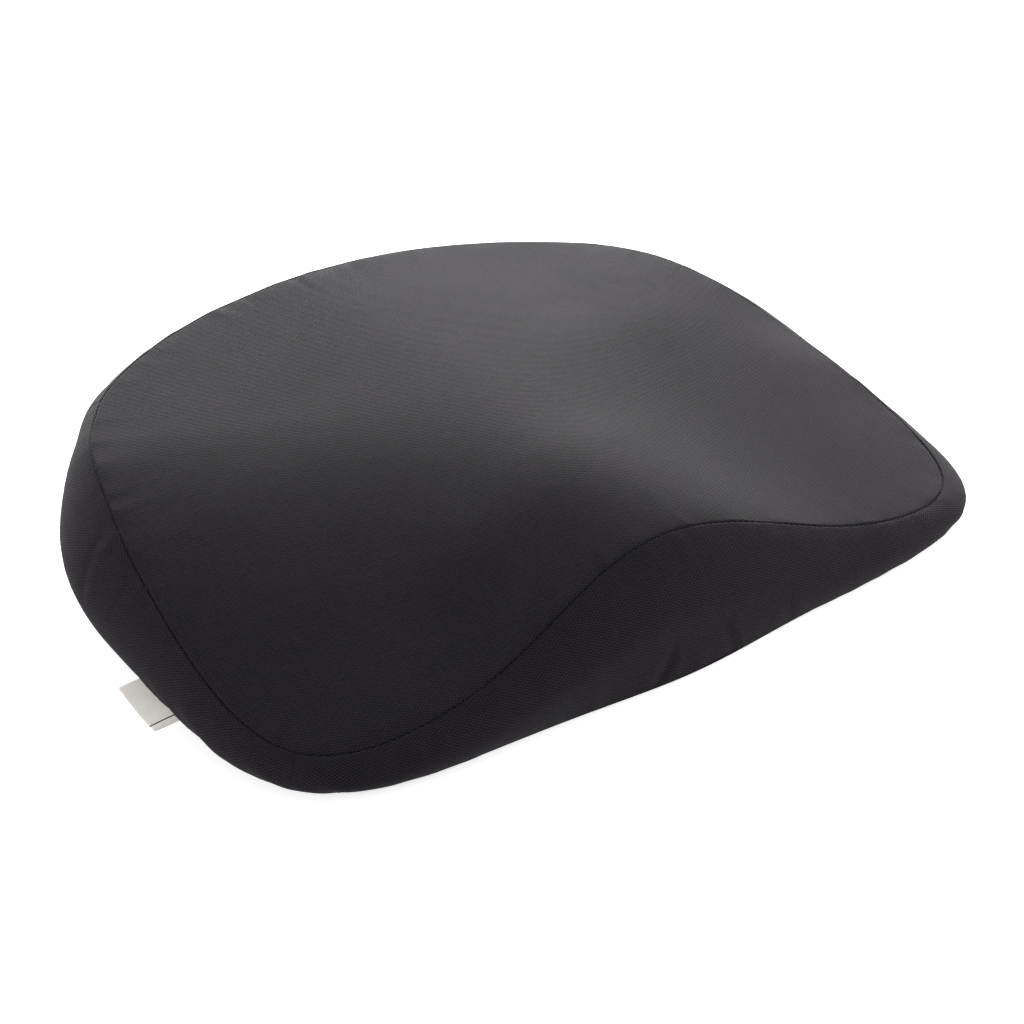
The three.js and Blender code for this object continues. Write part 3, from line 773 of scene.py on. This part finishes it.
def foamBody():
    columns = foam["columns"]
    turn = np.arange(columns) * 2 * math.pi / columns
    at = Sections(turn)
    inside = foam["clearance"]
    rows = []
    for share in np.linspace(0, 1, 18):
        z = inside + (at.seamZ - 2 * inside) * share
        point = at.wall(z)
        nearZip = smoothStep(1.6 - np.abs(z - zipHeight) / foam["recessHalf"])
        groove = at.weight * nearZip * (foam["recess"] - inside)
        point[:, :2] -= at.out * (inside + groove)[:, None]
        if share in (0, 1):
            point[:, :2] -= at.out * 1.2
        rows.append(point)
    rim = rows[-1][:, :2]
    middle = np.array([0, widestY])
    for share in np.linspace(0.03, 0.97, foam["rings"]):
        plan = mix(rim, middle, share)
        rows.append(np.concatenate([plan, (topHeight(plan[:, 0], plan[:, 1]) - inside)[:, None]], 1))
    floorLevel = np.full((columns, 1), inside)
    under = [np.concatenate([mix(rows[0][:, :2], middle, s), floorLevel], 1) for s in (0.97, 0.6, 0.25)]
    rows = under + rows
    points = np.concatenate(rows)
    count = len(rows)
    faces = gridFaces(count, columns, closed=True)
    top = len(points)
    topMiddle = [0, widestY, topHeight(0.0, widestY) - inside]
    points = np.concatenate([points, [topMiddle, [0, widestY, inside]]])
    last = (count - 1) * columns
    faces += [(last + c, last + (c + 1) % columns, top) for c in range(columns)]
    faces += [((c + 1) % columns, c, top + 1) for c in range(columns)]
    return meshObject("foamBody", points, faces)


foamPiece = foamBody()
say("foam")


zipper = {
    "length": slot["chain"], "stop": 2.7, "pitch": 1.5, "rowGap": 0.36, "rowHeight": 2.5,
    "wire": 0.33, "tapeTail": 12, "tapeThickness": 0.6, "hem": 2.6,
}
chainAngle = zipper["length"] / 2 / arcRadius


# A point on the zip's arc: angle from straight back, height above its middle line, depth in from the wall
def onArc(angle, height, depthIn):
    radius = arcRadius - depthIn
    z = np.broadcast_to(zipHeight + height, np.shape(angle))
    return np.stack([-radius * np.sin(angle), arcCentreY + radius * np.cos(angle), z], -1)


# Direction straight out of the wall at an angle of the zip's arc
def arcOut(angle):
    return np.stack([-np.sin(angle), np.cos(angle), np.zeros_like(angle)], -1)


# One row of coil: a flattened spiral of nylon wire, laid along the arc
def zipCoil(side):
    half = chainAngle - zipper["stop"] / arcRadius
    turnsOfWire = int(2 * half * arcRadius / zipper["pitch"])
    perTurn, sides = 14, 6
    t = np.arange(turnsOfWire * perTurn + 1) / perTurn
    phase = 2 * math.pi * t
    angle = -half + (t / turnsOfWire) * 2 * half
    reach = (zipper["rowHeight"] - zipper["rowGap"]) / 2 - zipper["wire"]
    middle = zipper["rowGap"] + zipper["wire"] + reach
    height = side * (middle - reach * np.sign(np.cos(phase)) * np.abs(np.cos(phase)) ** 0.7)
    depthIn = 0.3 - 0.56 * np.sin(phase)
    line = onArc(angle, height, depthIn)
    along = unit(np.gradient(line, axis=0))
    out = arcOut(angle)
    first = unit(np.cross(along, out) + 1e-6)
    second = unit(np.cross(first, along))
    ring = 2 * math.pi * np.arange(sides) / sides
    around = np.cos(ring)[None, :, None] * first[:, None] + np.sin(ring)[None, :, None] * second[:, None]
    verts = line[:, None] + zipper["wire"] * around
    faces = [tuple(reversed(f)) for f in gridFaces(len(line), sides, closed=True)]
    end = (len(line) - 1) * sides
    faces.append(tuple(range(sides)))
    faces.append(tuple(end + k for k in reversed(range(sides))))
    return meshObject("zipCoilUpper" if side > 0 else "zipCoilLower", verts.reshape(-1, 3), faces)


# A woven tape behind the coil, with a raised cord where the coil is sewn on
def zipTape(side):
    half = chainAngle + zipper["tapeTail"] / arcRadius
    angle = np.linspace(-half, half, 220)
    heights = np.array([0.6, 0.8, 1.6, 2.6, 3.0, 3.6, 4.2, 5.5, 7, 9, 11, 11.8, 12])
    bulge = np.array([0, 0.05, 0.05, 0.1, 0.25, 0.25, 0.05, 0, 0, 0, 0, -0.05, -0.1])
    rows = [onArc(angle, side * h, 1.6 - b) for h, b in zip(heights, bulge)]
    verts = np.concatenate(rows)
    faces = gridFaces(len(rows), len(angle))
    if side < 0:
        faces = [tuple(reversed(f)) for f in faces]
    uv = np.stack([np.tile(angle * arcRadius, len(rows)), np.repeat(heights, len(angle))], -1)
    verts, faces = thickSheet(verts, faces, zipper["tapeThickness"])
    name = "zipTapeUpper" if side > 0 else "zipTapeLower"
    return meshObject(name, verts, faces, np.concatenate([uv, uv]))


# Stitches that hold each strip's folded edge to its tape
def hemStitches(side):
    half = chainAngle + zipper["tapeTail"] / arcRadius
    pitch = 3.0
    count = int(2 * half * arcRadius / pitch)
    angle = -half + (np.arange(count) + 0.5) * 2 * half / count
    step = 1.15 / arcRadius
    height = side * (slot["height"] / 2 + zipper["hem"])
    starts, ends = onArc(angle - step, height, 0.0), onArc(angle + step, height, 0.0)
    outs = arcOut(angle)
    verts, faces = stitchMesh(starts, ends, outs, 0.24, 0.16)
    return meshObject("hemStitchesUpper" if side > 0 else "hemStitchesLower", verts, faces)


# A rounded copy of a small hard CAD piece
def roundedCopy(node, name, width, segments=3):
    source = frame["nodes"][node]
    mesh = source.data.copy()
    piece = bpy.data.objects.new(name, mesh)
    scene.collection.objects.link(piece)
    weld = piece.modifiers.new("weld", "WELD")
    weld.merge_threshold = 0.00002
    bevel = piece.modifiers.new("bevel", "BEVEL")
    bevel.width = width * mm
    bevel.segments = segments
    bevel.limit_method = "ANGLE"
    bevel.angle_limit = math.radians(32)
    bevel.use_clamp_overlap = True
    evaluated = piece.evaluated_get(bpy.context.evaluated_depsgraph_get())
    rounded = bpy.data.meshes.new_from_object(evaluated)
    piece.modifiers.clear()
    piece.data = rounded
    rounded.polygons.foreach_set("use_smooth", [True] * len(rounded.polygons))
    piece.data.materials.clear()
    return piece


zipPieces = {}
for side, word, node in ((1, "Upper", "upper"), (-1, "Lower", "lower")):
    zipPieces["zipTape" + word] = (zipTape(side), "zip_tape_" + node, "zip_tape")
    zipPieces["zipCoil" + word] = (zipCoil(side), "zip_coil_" + node, "zip_coil")
    zipPieces["hemStitches" + word] = (hemStitches(side), None, "thread")
    topStop = roundedCopy("zip_top_stop_" + node, "zipTopStop" + word, 0.3)
    zipPieces["zipTopStop" + word] = (topStop, "zip_top_stop_" + node, "zip_metal")
bottomStop = roundedCopy("zip_bottom_stop", "zipBottomStop", 0.35)
zipPieces["zipBottomStop"] = (bottomStop, "zip_bottom_stop", "zip_metal")
slider = roundedCopy("zip_slider", "zipSlider", 0.28)
pull = roundedCopy("zip_pull", "zipPull", 0.3)
say("zip")


label = {"steps": 40, "reachSteps": 16, "thickness": 0.34, "reach": 13.5, "ripple": 0.5}


# A folded loop of woven ribbon that comes out of the bottom seam
def sideLabel():
    low, high = (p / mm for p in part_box("woven_label"))
    reach = label["reach"]
    ys = np.linspace(high.y - 0.2, low.y + 0.2, label["steps"] + 1)
    # The root follows the foot of the wall
    turn = np.linspace(math.radians(70), math.radians(125), 400)
    foot = Sections(turn)
    wall = foot.wall(np.full(400, 2.0))
    order = np.argsort(wall[:, 1])
    rootX = np.interp(ys, wall[order, 1], wall[order, 0])
    rows = []
    n = label["reachSteps"]
    profile = []
    half = label["thickness"] * 1.25
    for i in range(n + 1):                       # lower leaf from the seam out to the fold
        profile.append((i / n, -half * (0.55 + 0.45 * math.sin(math.pi * i / n))))
    for k in range(1, 6):                        # the fold
        angle = -math.pi / 2 + math.pi * k / 6
        profile.append((1 + 0.05 * math.cos(angle), half * 0.55 * math.sin(angle)))
    for i in range(n, -1, -1):                   # upper leaf back to the seam
        profile.append((i / n, half * (0.55 + 0.45 * math.sin(math.pi * i / n))))
    for place, up in profile:
        s = (ys - ys[0]) / (ys[-1] - ys[0])
        x = rootX + 2.2 - (reach + 2.2 + 0.5 * np.sin(3.1 * s)) * place
        ripple = label["ripple"] * place ** 1.5 * np.sin(2 * math.pi * (0.85 * s + 0.1)) * 0.7
        z = 2.15 - 0.75 * place + up + ripple * 0.45 + 0.25 * place
        slant = ys - 0.8 * place * np.sin(math.pi * s)
        rows.append(np.stack([x, slant, np.maximum(z, 0.35)], -1))
    points = np.concatenate(rows)
    columns = len(ys)
    faces = gridFaces(len(rows), columns)
    along = np.tile((ys[0] - ys), len(rows))
    across = np.repeat([p[0] * reach for p in profile], columns)
    verts, faces = thickSheet(points, faces, label["thickness"] * 0.5)
    uv = np.stack([along, across], -1)
    return meshObject("sideLabel", verts, faces, np.concatenate([uv, uv]))


# A soft rectangle of satin that lies on the base inside the cover
def careLabelPiece():
    low, high = (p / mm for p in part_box("care_label"))
    source = frame["nodes"]["care_label"].data
    points = np.array([v.co for v in source.vertices]) / mm
    flat = np.unique(np.round(points[:, :2], 2), axis=0)
    centre = flat.mean(0)
    order = np.argsort(np.arctan2(flat[:, 1] - centre[1], flat[:, 0] - centre[0]))
    corners = flat[order][:4]
    s, t = np.meshgrid(np.linspace(0, 1, 24), np.linspace(0, 1, 30))
    s, t = s[..., None], t[..., None]
    plan = mix(mix(corners[0], corners[1], s), mix(corners[3], corners[2], s), t)
    z = mix(low.z, high.z, 0.5) + 0.12 * np.sin(9 * t[..., 0]) * np.sin(5 * s[..., 0])
    points = np.concatenate([plan, z[..., None]], -1).reshape(-1, 3)
    verts, faces = thickSheet(points, gridFaces(30, 24), 0.15)
    uv = points[:, :2]
    return meshObject("careLabel", verts, faces, np.concatenate([uv, uv]))


labelPiece = sideLabel()
carePiece = careLabelPiece()
say("labels")


# A small helper that adds nodes and joins their sockets by name
class Nodes:
    def __init__(self, name):
        self.material = bpy.data.materials.new(name)
        self.material.use_nodes = True
        self.tree = self.material.node_tree
        self.shader = next(n for n in self.tree.nodes if n.type == "BSDF_PRINCIPLED")

    def add(self, kind, **inputs):
        node = self.tree.nodes.new(kind)
        for key, value in inputs.items():
            socket = node.inputs[int(key[1:])] if key[0] == "i" and key[1:].isdigit() else node.inputs[key]
            if isinstance(value, bpy.types.NodeSocket):
                self.tree.links.new(value, socket)
            else:
                socket.default_value = value
        return node

    def math(self, operation, a, b=0.0, c=0.0):
        node = self.add("ShaderNodeMath", i0=a, i1=b, i2=c)
        node.operation = operation
        return node.outputs[0]

    def noise(self, vector, scale, detail=2.0, roughness=0.5):
        node = self.add("ShaderNodeTexNoise", Vector=vector, Scale=scale, Detail=detail, Roughness=roughness)
        return node.outputs["Fac"]

    def ramp(self, value, stops):
        node = self.add("ShaderNodeValToRGB", Fac=value)
        ramp = node.color_ramp
        ramp.elements[0].position, ramp.elements[0].color = stops[0][0], (*stops[0][1], 1)
        ramp.elements[1].position, ramp.elements[1].color = stops[-1][0], (*stops[-1][1], 1)
        for place, colour in stops[1:-1]:
            ramp.elements.new(place).color = (*colour, 1)
        return node.outputs["Color"]

    def mixColour(self, kind, factor, a, b):
        node = self.tree.nodes.new("ShaderNodeMix")
        node.data_type = "RGBA"
        node.blend_type = kind
        for socket, value in ((node.inputs[0], factor), (node.inputs[6], a), (node.inputs[7], b)):
            if isinstance(value, bpy.types.NodeSocket):
                self.tree.links.new(value, socket)
            else:
                socket.default_value = value
        return node.outputs[2]

    def grey(self, value):
        node = self.add("ShaderNodeCombineColor", i0=value, i1=value, i2=value)
        return node.outputs[0]

    def bump(self, height, strength, distance, normal=None):
        node = self.add("ShaderNodeBump", Height=height, Strength=strength, Distance=distance)
        if normal is not None:
            self.tree.links.new(normal, node.inputs["Normal"])
        return node.outputs["Normal"]

    def finish(self, **inputs):
        for key, value in inputs.items():
            socket = self.shader.inputs[key.replace("_", " ")]
            if isinstance(value, bpy.types.NodeSocket):
                self.tree.links.new(value, socket)
            else:
                socket.default_value = value
        return self.material


cloth = {
    "columnPitch": 1.25, "rowPitch": 0.75,      # mm between the yarns
    # gap, yarn and light colour the weave's gaps, yarns and yarn tops, with painted shade in the gaps and
    # painted highlight on the tops
    "gap": (0.0030, 0.0027, 0.0031), "yarn": (0.0172, 0.0153, 0.0175), "light": (0.0355, 0.0318, 0.0362),
    "sheen": 0.03, "sheenRoughness": 0.45, "sheenTint": (0.86, 0.83, 0.88),
    "bump": 0.95, "bumpHeight": 0.00019,
}


# Plain-weave cloth. The map is in millimetres, so the yarns keep their real size.
def wovenCloth(name, dark=1.0, sheen=1.0, lint=1.0):
    n = Nodes(name)
    place = n.add("ShaderNodeUVMap")
    place.uv_map = "weave"
    uv = place.outputs["UV"]
    split = n.add("ShaderNodeSeparateXYZ", Vector=uv)
    wander = n.noise(uv, 0.22, 3.0)
    fine = n.noise(uv, 1.9, 2.0)
    shaky = n.noise(uv, 0.75, 2.0)
    rowStretch = n.add("ShaderNodeMapping", Vector=uv, Scale=(0.1, 1.3, 1.0)).outputs[0]
    columnStretch = n.add("ShaderNodeMapping", Vector=uv, Scale=(0.8, 0.09, 1.0)).outputs[0]
    streaks = n.math("ADD", n.noise(rowStretch, 1.0, 1.0), n.noise(columnStretch, 1.0, 1.0))
    wanderU = n.math("MULTIPLY_ADD", shaky, 0.9, n.math("MULTIPLY_ADD", wander, 1.3, split.outputs[0]))
    wanderV = n.math("MULTIPLY_ADD", shaky, 0.55, n.math("MULTIPLY_ADD", wander, -0.9, split.outputs[1]))
    phaseU = n.math("MULTIPLY", wanderU, math.pi / cloth["columnPitch"])
    phaseV = n.math("MULTIPLY", wanderV, math.pi / cloth["rowPitch"])
    lattice = n.math("MULTIPLY", n.math("COSINE", phaseU), n.math("COSINE", phaseV))
    dots = n.math("MULTIPLY_ADD", lattice, 0.5, 0.5)
    twist = n.math("SINE", n.math("MULTIPLY", n.math("ADD", split.outputs[0], split.outputs[1]), 11.0))
    height = n.math("MULTIPLY_ADD", twist, 0.05, n.math("MULTIPLY_ADD", fine, 0.35, dots))
    yarnShade = n.math("MULTIPLY_ADD", fine, 0.62, n.math("MULTIPLY_ADD", dots, 0.8, -0.17))
    yarnShade = n.math("MULTIPLY_ADD", n.math("SUBTRACT", streaks, 1.0), 0.2, yarnShade)
    gap, yarn, light = (tuple(c * dark for c in cloth[k]) for k in ("gap", "yarn", "light"))
    # The pale yarn tops and dark gaps are partly the yarns' own tone and partly painted highlight on the tops
    # and painted shade in the gaps
    colour = n.ramp(yarnShade, [(0.08, gap), (0.55, yarn), (1.0, light)])
    mottle = n.noise(uv, 0.021, 4.0, 0.6)
    middling = n.noise(uv, 0.16, 3.0, 0.6)
    shade = n.math("MULTIPLY_ADD", middling, 0.22, n.math("MULTIPLY_ADD", mottle, 0.34, 0.72))
    colour = n.mixColour("MULTIPLY", 1.0, colour, n.grey(shade))
    specks = n.math("GREATER_THAN", n.noise(uv, 1.3, 1.0), 0.775)
    patches = n.math("SUBTRACT", n.noise(uv, 0.035, 2.0), 0.42)
    lintShare = n.math("MULTIPLY", specks, n.math("MAXIMUM", n.math("MULTIPLY", patches, 1.4 * lint), 0.0))
    colour = n.mixColour("MIX", lintShare, colour, (0.16, 0.155, 0.165, 1))
    normal = n.bump(height, cloth["bump"], cloth["bumpHeight"])
    fuzz = n.noise(uv, 5.5, 2.0)
    normal = n.bump(fuzz, 0.25, 0.00006, normal)
    rough = n.math("MULTIPLY_ADD", fine, 0.12, 0.84)
    return n.finish(Base_Color=colour, Roughness=rough, Normal=normal,
                    Specular_IOR_Level=0.1, Specular_Tint=(1.0, 0.93, 1.0, 1),
                    Sheen_Weight=cloth["sheen"] * sheen, Sheen_Roughness=cloth["sheenRoughness"],
                    Sheen_Tint=(*cloth["sheenTint"], 1))


def foamMaterial():
    n = Nodes("cushionFoam")
    place = n.add("ShaderNodeTexCoord").outputs["Object"]
    cells = n.add("ShaderNodeTexVoronoi", Vector=place, Scale=900.0)
    patches = n.noise(place, 18.0, 4.0)
    tone = n.math("MULTIPLY_ADD", cells.outputs["Distance"], 0.5, n.math("MULTIPLY", patches, 0.6))
    dark, middle, pale = (0.02, 0.02, 0.022), (0.05, 0.05, 0.054), (0.085, 0.085, 0.09)
    colour = n.ramp(tone, [(0.1, dark), (0.55, middle), (0.95, pale)])
    normal = n.bump(cells.outputs["Distance"], 0.5, 0.0004)
    return n.finish(Base_Color=colour, Roughness=0.95, Normal=normal, Specular_IOR_Level=0.2)


def threadMaterial():
    n = Nodes("cushionThread")
    place = n.add("ShaderNodeTexCoord").outputs["Object"]
    strands = n.add("ShaderNodeTexWave", Vector=place, Scale=900.0, Distortion=1.5)
    colour = n.ramp(strands.outputs["Fac"], [(0.0, (0.006, 0.0055, 0.0065)), (1.0, (0.024, 0.0225, 0.026))])
    normal = n.bump(strands.outputs["Fac"], 0.4, 0.00005)
    return n.finish(Base_Color=colour, Roughness=0.7, Normal=normal, Specular_IOR_Level=0.3)


def labelMaterial(name, line):
    n = Nodes(name)
    place = n.add("ShaderNodeUVMap")
    place.uv_map = "weave"
    uv = place.outputs["UV"]
    split = n.add("ShaderNodeSeparateXYZ", Vector=uv)
    along, across = split.outputs[0], split.outputs[1]
    ribs = n.math("SINE", n.math("MULTIPLY", along, 2 * math.pi / 0.42))
    crossRibs = n.math("SINE", n.math("MULTIPLY", across, 2 * math.pi / 0.3))
    weave = n.math("MULTIPLY_ADD", n.math("MULTIPLY", ribs, crossRibs), 0.25, 0.5)
    tone = n.noise(uv, 0.12, 3.0)
    colour = n.ramp(n.math("MULTIPLY_ADD", tone, 0.5, n.math("MULTIPLY", weave, 0.5)),
                    [(0.2, (0.6, 0.57, 0.53)), (0.5, (0.78, 0.75, 0.71)), (0.85, (0.86, 0.84, 0.8))])
    if line:                                     # one plain woven line near the front end
        near = n.math("COMPARE", along, line, 0.45)
        colour = n.mixColour("MIX", near, colour, (0.03, 0.024, 0.026, 1))
    normal = n.bump(weave, 0.5, 0.00008)
    # Painted light: the ribbon glows in its own colour, so it looks brightly lit though the cushion shades it
    # from the lamps
    return n.finish(Base_Color=colour, Roughness=0.7, Normal=normal, Specular_IOR_Level=0.3,
                    Sheen_Weight=0.15, Sheen_Roughness=0.5, Emission_Color=colour, Emission_Strength=0.36)


def tapeMaterial():
    n = Nodes("zipTapeCloth")
    place = n.add("ShaderNodeUVMap")
    place.uv_map = "weave"
    split = n.add("ShaderNodeSeparateXYZ", Vector=place.outputs["UV"])
    along, across = split.outputs[0], split.outputs[1]
    fold = n.math("ABSOLUTE", n.math("SUBTRACT", n.math("FRACT", n.math("MULTIPLY", across, 0.42)), 0.5))
    bone = n.math("SINE", n.math("MULTIPLY", n.math("MULTIPLY_ADD", fold, 3.2, along), 2 * math.pi / 0.7))
    weave = n.math("MULTIPLY_ADD", bone, 0.5, 0.5)
    colour = n.ramp(weave, [(0.0, (0.004, 0.0038, 0.0044)), (1.0, (0.02, 0.0188, 0.021))])
    normal = n.bump(weave, 0.6, 0.00012)
    return n.finish(Base_Color=colour, Roughness=0.85, Normal=normal, Specular_IOR_Level=0.12,
                    Sheen_Weight=0.03, Sheen_Roughness=0.5)


def coilMaterial():
    n = Nodes("zipCoilNylon")
    place = n.add("ShaderNodeTexCoord").outputs["Object"]
    tone = n.noise(place, 400.0, 2.0)
    colour = n.ramp(tone, [(0.2, (0.008, 0.0076, 0.009)), (0.8, (0.02, 0.019, 0.022))])
    rough = n.math("MULTIPLY_ADD", tone, 0.25, 0.34)
    return n.finish(Base_Color=colour, Roughness=rough, Specular_IOR_Level=0.4)


def metalMaterial():
    n = Nodes("zipMetalPaint")
    place = n.add("ShaderNodeTexCoord").outputs["Object"]
    worn = n.add("ShaderNodeNewGeometry").outputs["Pointiness"]
    scratches = n.noise(place, 900.0, 4.0, 0.7)
    edge = n.math("MULTIPLY", n.math("SUBTRACT", worn, 0.52), 9.0)
    wear = n.math("MULTIPLY", n.math("MAXIMUM", edge, 0.0), scratches)
    colour = n.ramp(wear, [(0.15, (0.035, 0.035, 0.038)), (0.75, (0.2, 0.195, 0.19))])
    rough = n.math("MULTIPLY_ADD", scratches, 0.25, 0.26)
    normal = n.bump(scratches, 0.15, 0.00003)
    return n.finish(Base_Color=colour, Roughness=rough, Normal=normal, Metallic=0.55)


def gripMaterial():
    n = Nodes("gripRubber")
    place = n.add("ShaderNodeTexCoord").outputs["Object"]
    dust = n.noise(place, 160.0, 4.0)
    colour = n.ramp(dust, [(0.3, (0.012, 0.012, 0.013)), (0.8, (0.035, 0.034, 0.035))])
    rough = n.math("MULTIPLY_ADD", dust, 0.3, 0.42)
    return n.finish(Base_Color=colour, Roughness=rough, Specular_IOR_Level=0.45)


finishes = {
    "cover_fabric": wovenCloth("coverWeave"),
    "base_fabric": wovenCloth("baseWeave", dark=0.8, sheen=0.5, lint=0.5),
    "foam": foamMaterial(),
    "thread": threadMaterial(),
    "label": labelMaterial("labelRibbon", 34.5),
    "care": labelMaterial("careRibbon", 0),
    "zip_tape": tapeMaterial(),
    "zip_coil": coilMaterial(),
    "zip_metal": metalMaterial(),
    "grip": gripMaterial(),
}
say("materials")


def place(piece, body, slot, nodes=(), finish=None):
    piece.data.materials.clear()
    piece.data.materials.append(finishes[finish or slot])
    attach(piece, body)
    if nodes:
        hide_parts(*nodes)


for name, (piece, node) in coverPieces.items():
    place(piece, "cushion", "base_fabric" if name == "coverBase" else "cover_fabric", [node])
place(grip, "cushion", "base_fabric", finish="grip")
place(topStitches, "cushion", "thread", ["top_seam_thread"])
place(bottomStitches, "cushion", "thread", ["bottom_seam_thread"])
place(foamPiece, "cushion", "foam", ["foam_core"])
for name, (piece, node, slot) in zipPieces.items():
    place(piece, "cushion", slot, [node] if node else [])
place(slider, "slider", "zip_metal", ["zip_slider"])
place(pull, "pull", "zip_metal", ["zip_pull"])
place(labelPiece, "cushion", "label", ["woven_label"])
place(carePiece, "cushion", "label", ["care_label"], finish="care")


studio = {
    "floor": (0.93, 0.93, 0.93), "floorGlow": 0.7,
    "sky": 0.44,
    # Soft panels that stand on the floor: turn from straight back, distance, width, height, power
    "panels": {
        "backPanel": (33, 2.8, 3.0, 1.45, 350),
        "leftPanel": (-78, 2.2, 1.6, 0.9, 26),
        "rightPanel": (112, 2.2, 1.6, 0.9, 45),
    },
}


def floorAndLight():
    mesh = bpy.data.meshes.new("studioFloor")
    reach = 30.0
    level = -0.0003
    corners = [(-reach, -reach, level), (reach, -reach, level), (reach, reach, level), (-reach, reach, level)]
    mesh.from_pydata(corners, [], [(0, 1, 2, 3)])
    floor = bpy.data.objects.new("studioFloor", mesh)
    scene.collection.objects.link(floor)
    n = Nodes("paleFloor")
    grain = n.noise(n.add("ShaderNodeTexCoord").outputs["Object"], 3.0, 2.0)
    colour = n.ramp(grain, [(0.0, tuple(c * 0.995 for c in studio["floor"])), (1.0, studio["floor"])])
    n.finish(Base_Color=colour, Roughness=0.9, Specular_IOR_Level=0.1, Emission_Color=(1, 1, 1, 1),
             Emission_Strength=studio["floorGlow"])
    mesh.materials.append(n.material)
    floor.visible_diffuse = False                # the floor doesn't light the cushion from below

    world = bpy.data.worlds.new("studioSky")
    world.use_nodes = True
    world.node_tree.nodes["Background"].inputs["Color"].default_value = (1, 1, 1, 1)
    world.node_tree.nodes["Background"].inputs["Strength"].default_value = studio["sky"]
    scene.world = world

    for name, (turn, distance, width, height, power) in studio["panels"].items():
        panel = bpy.data.lights.new(name, "AREA")
        panel.shape = "RECTANGLE"
        panel.size, panel.size_y = width, height
        panel.energy = power
        lamp = bpy.data.objects.new(name, panel)
        away = Vector((math.sin(math.radians(turn)), math.cos(math.radians(turn)), 0))
        lamp.rotation_euler = away.to_track_quat("Z", "Y").to_euler()
        lamp.location = away * distance + Vector((0, 0, height / 2 + 0.01))
        scene.collection.objects.link(lamp)


# The camera looks at a target from a turn, a height angle and a distance
view = {"turn": -36.9, "height": 31.9, "distance": 1.384, "lens": 99,
        "target": (-0.011, -0.046, 0.03)}


def addCamera():
    camera = bpy.data.cameras.new("studioCamera")
    camera.lens = view["lens"]
    camera.sensor_width = 36
    camera.clip_start = 0.05
    holder = bpy.data.objects.new("studioCamera", camera)
    turn, height = math.radians(view["turn"]), math.radians(view["height"])
    back = Vector((math.sin(turn) * math.cos(height), -math.cos(turn) * math.cos(height), math.sin(height)))
    right = Vector((math.cos(turn), math.sin(turn), 0))
    up = back.cross(right)
    spin = Matrix((right, up, back)).transposed()
    holder.matrix_world = Matrix.Translation(Vector(view["target"]) + back * view["distance"]) @ spin.to_4x4()
    scene.collection.objects.link(holder)
    scene.camera = holder


floorAndLight()
addCamera()
scene.view_settings.view_transform = "Standard"
say("studio")
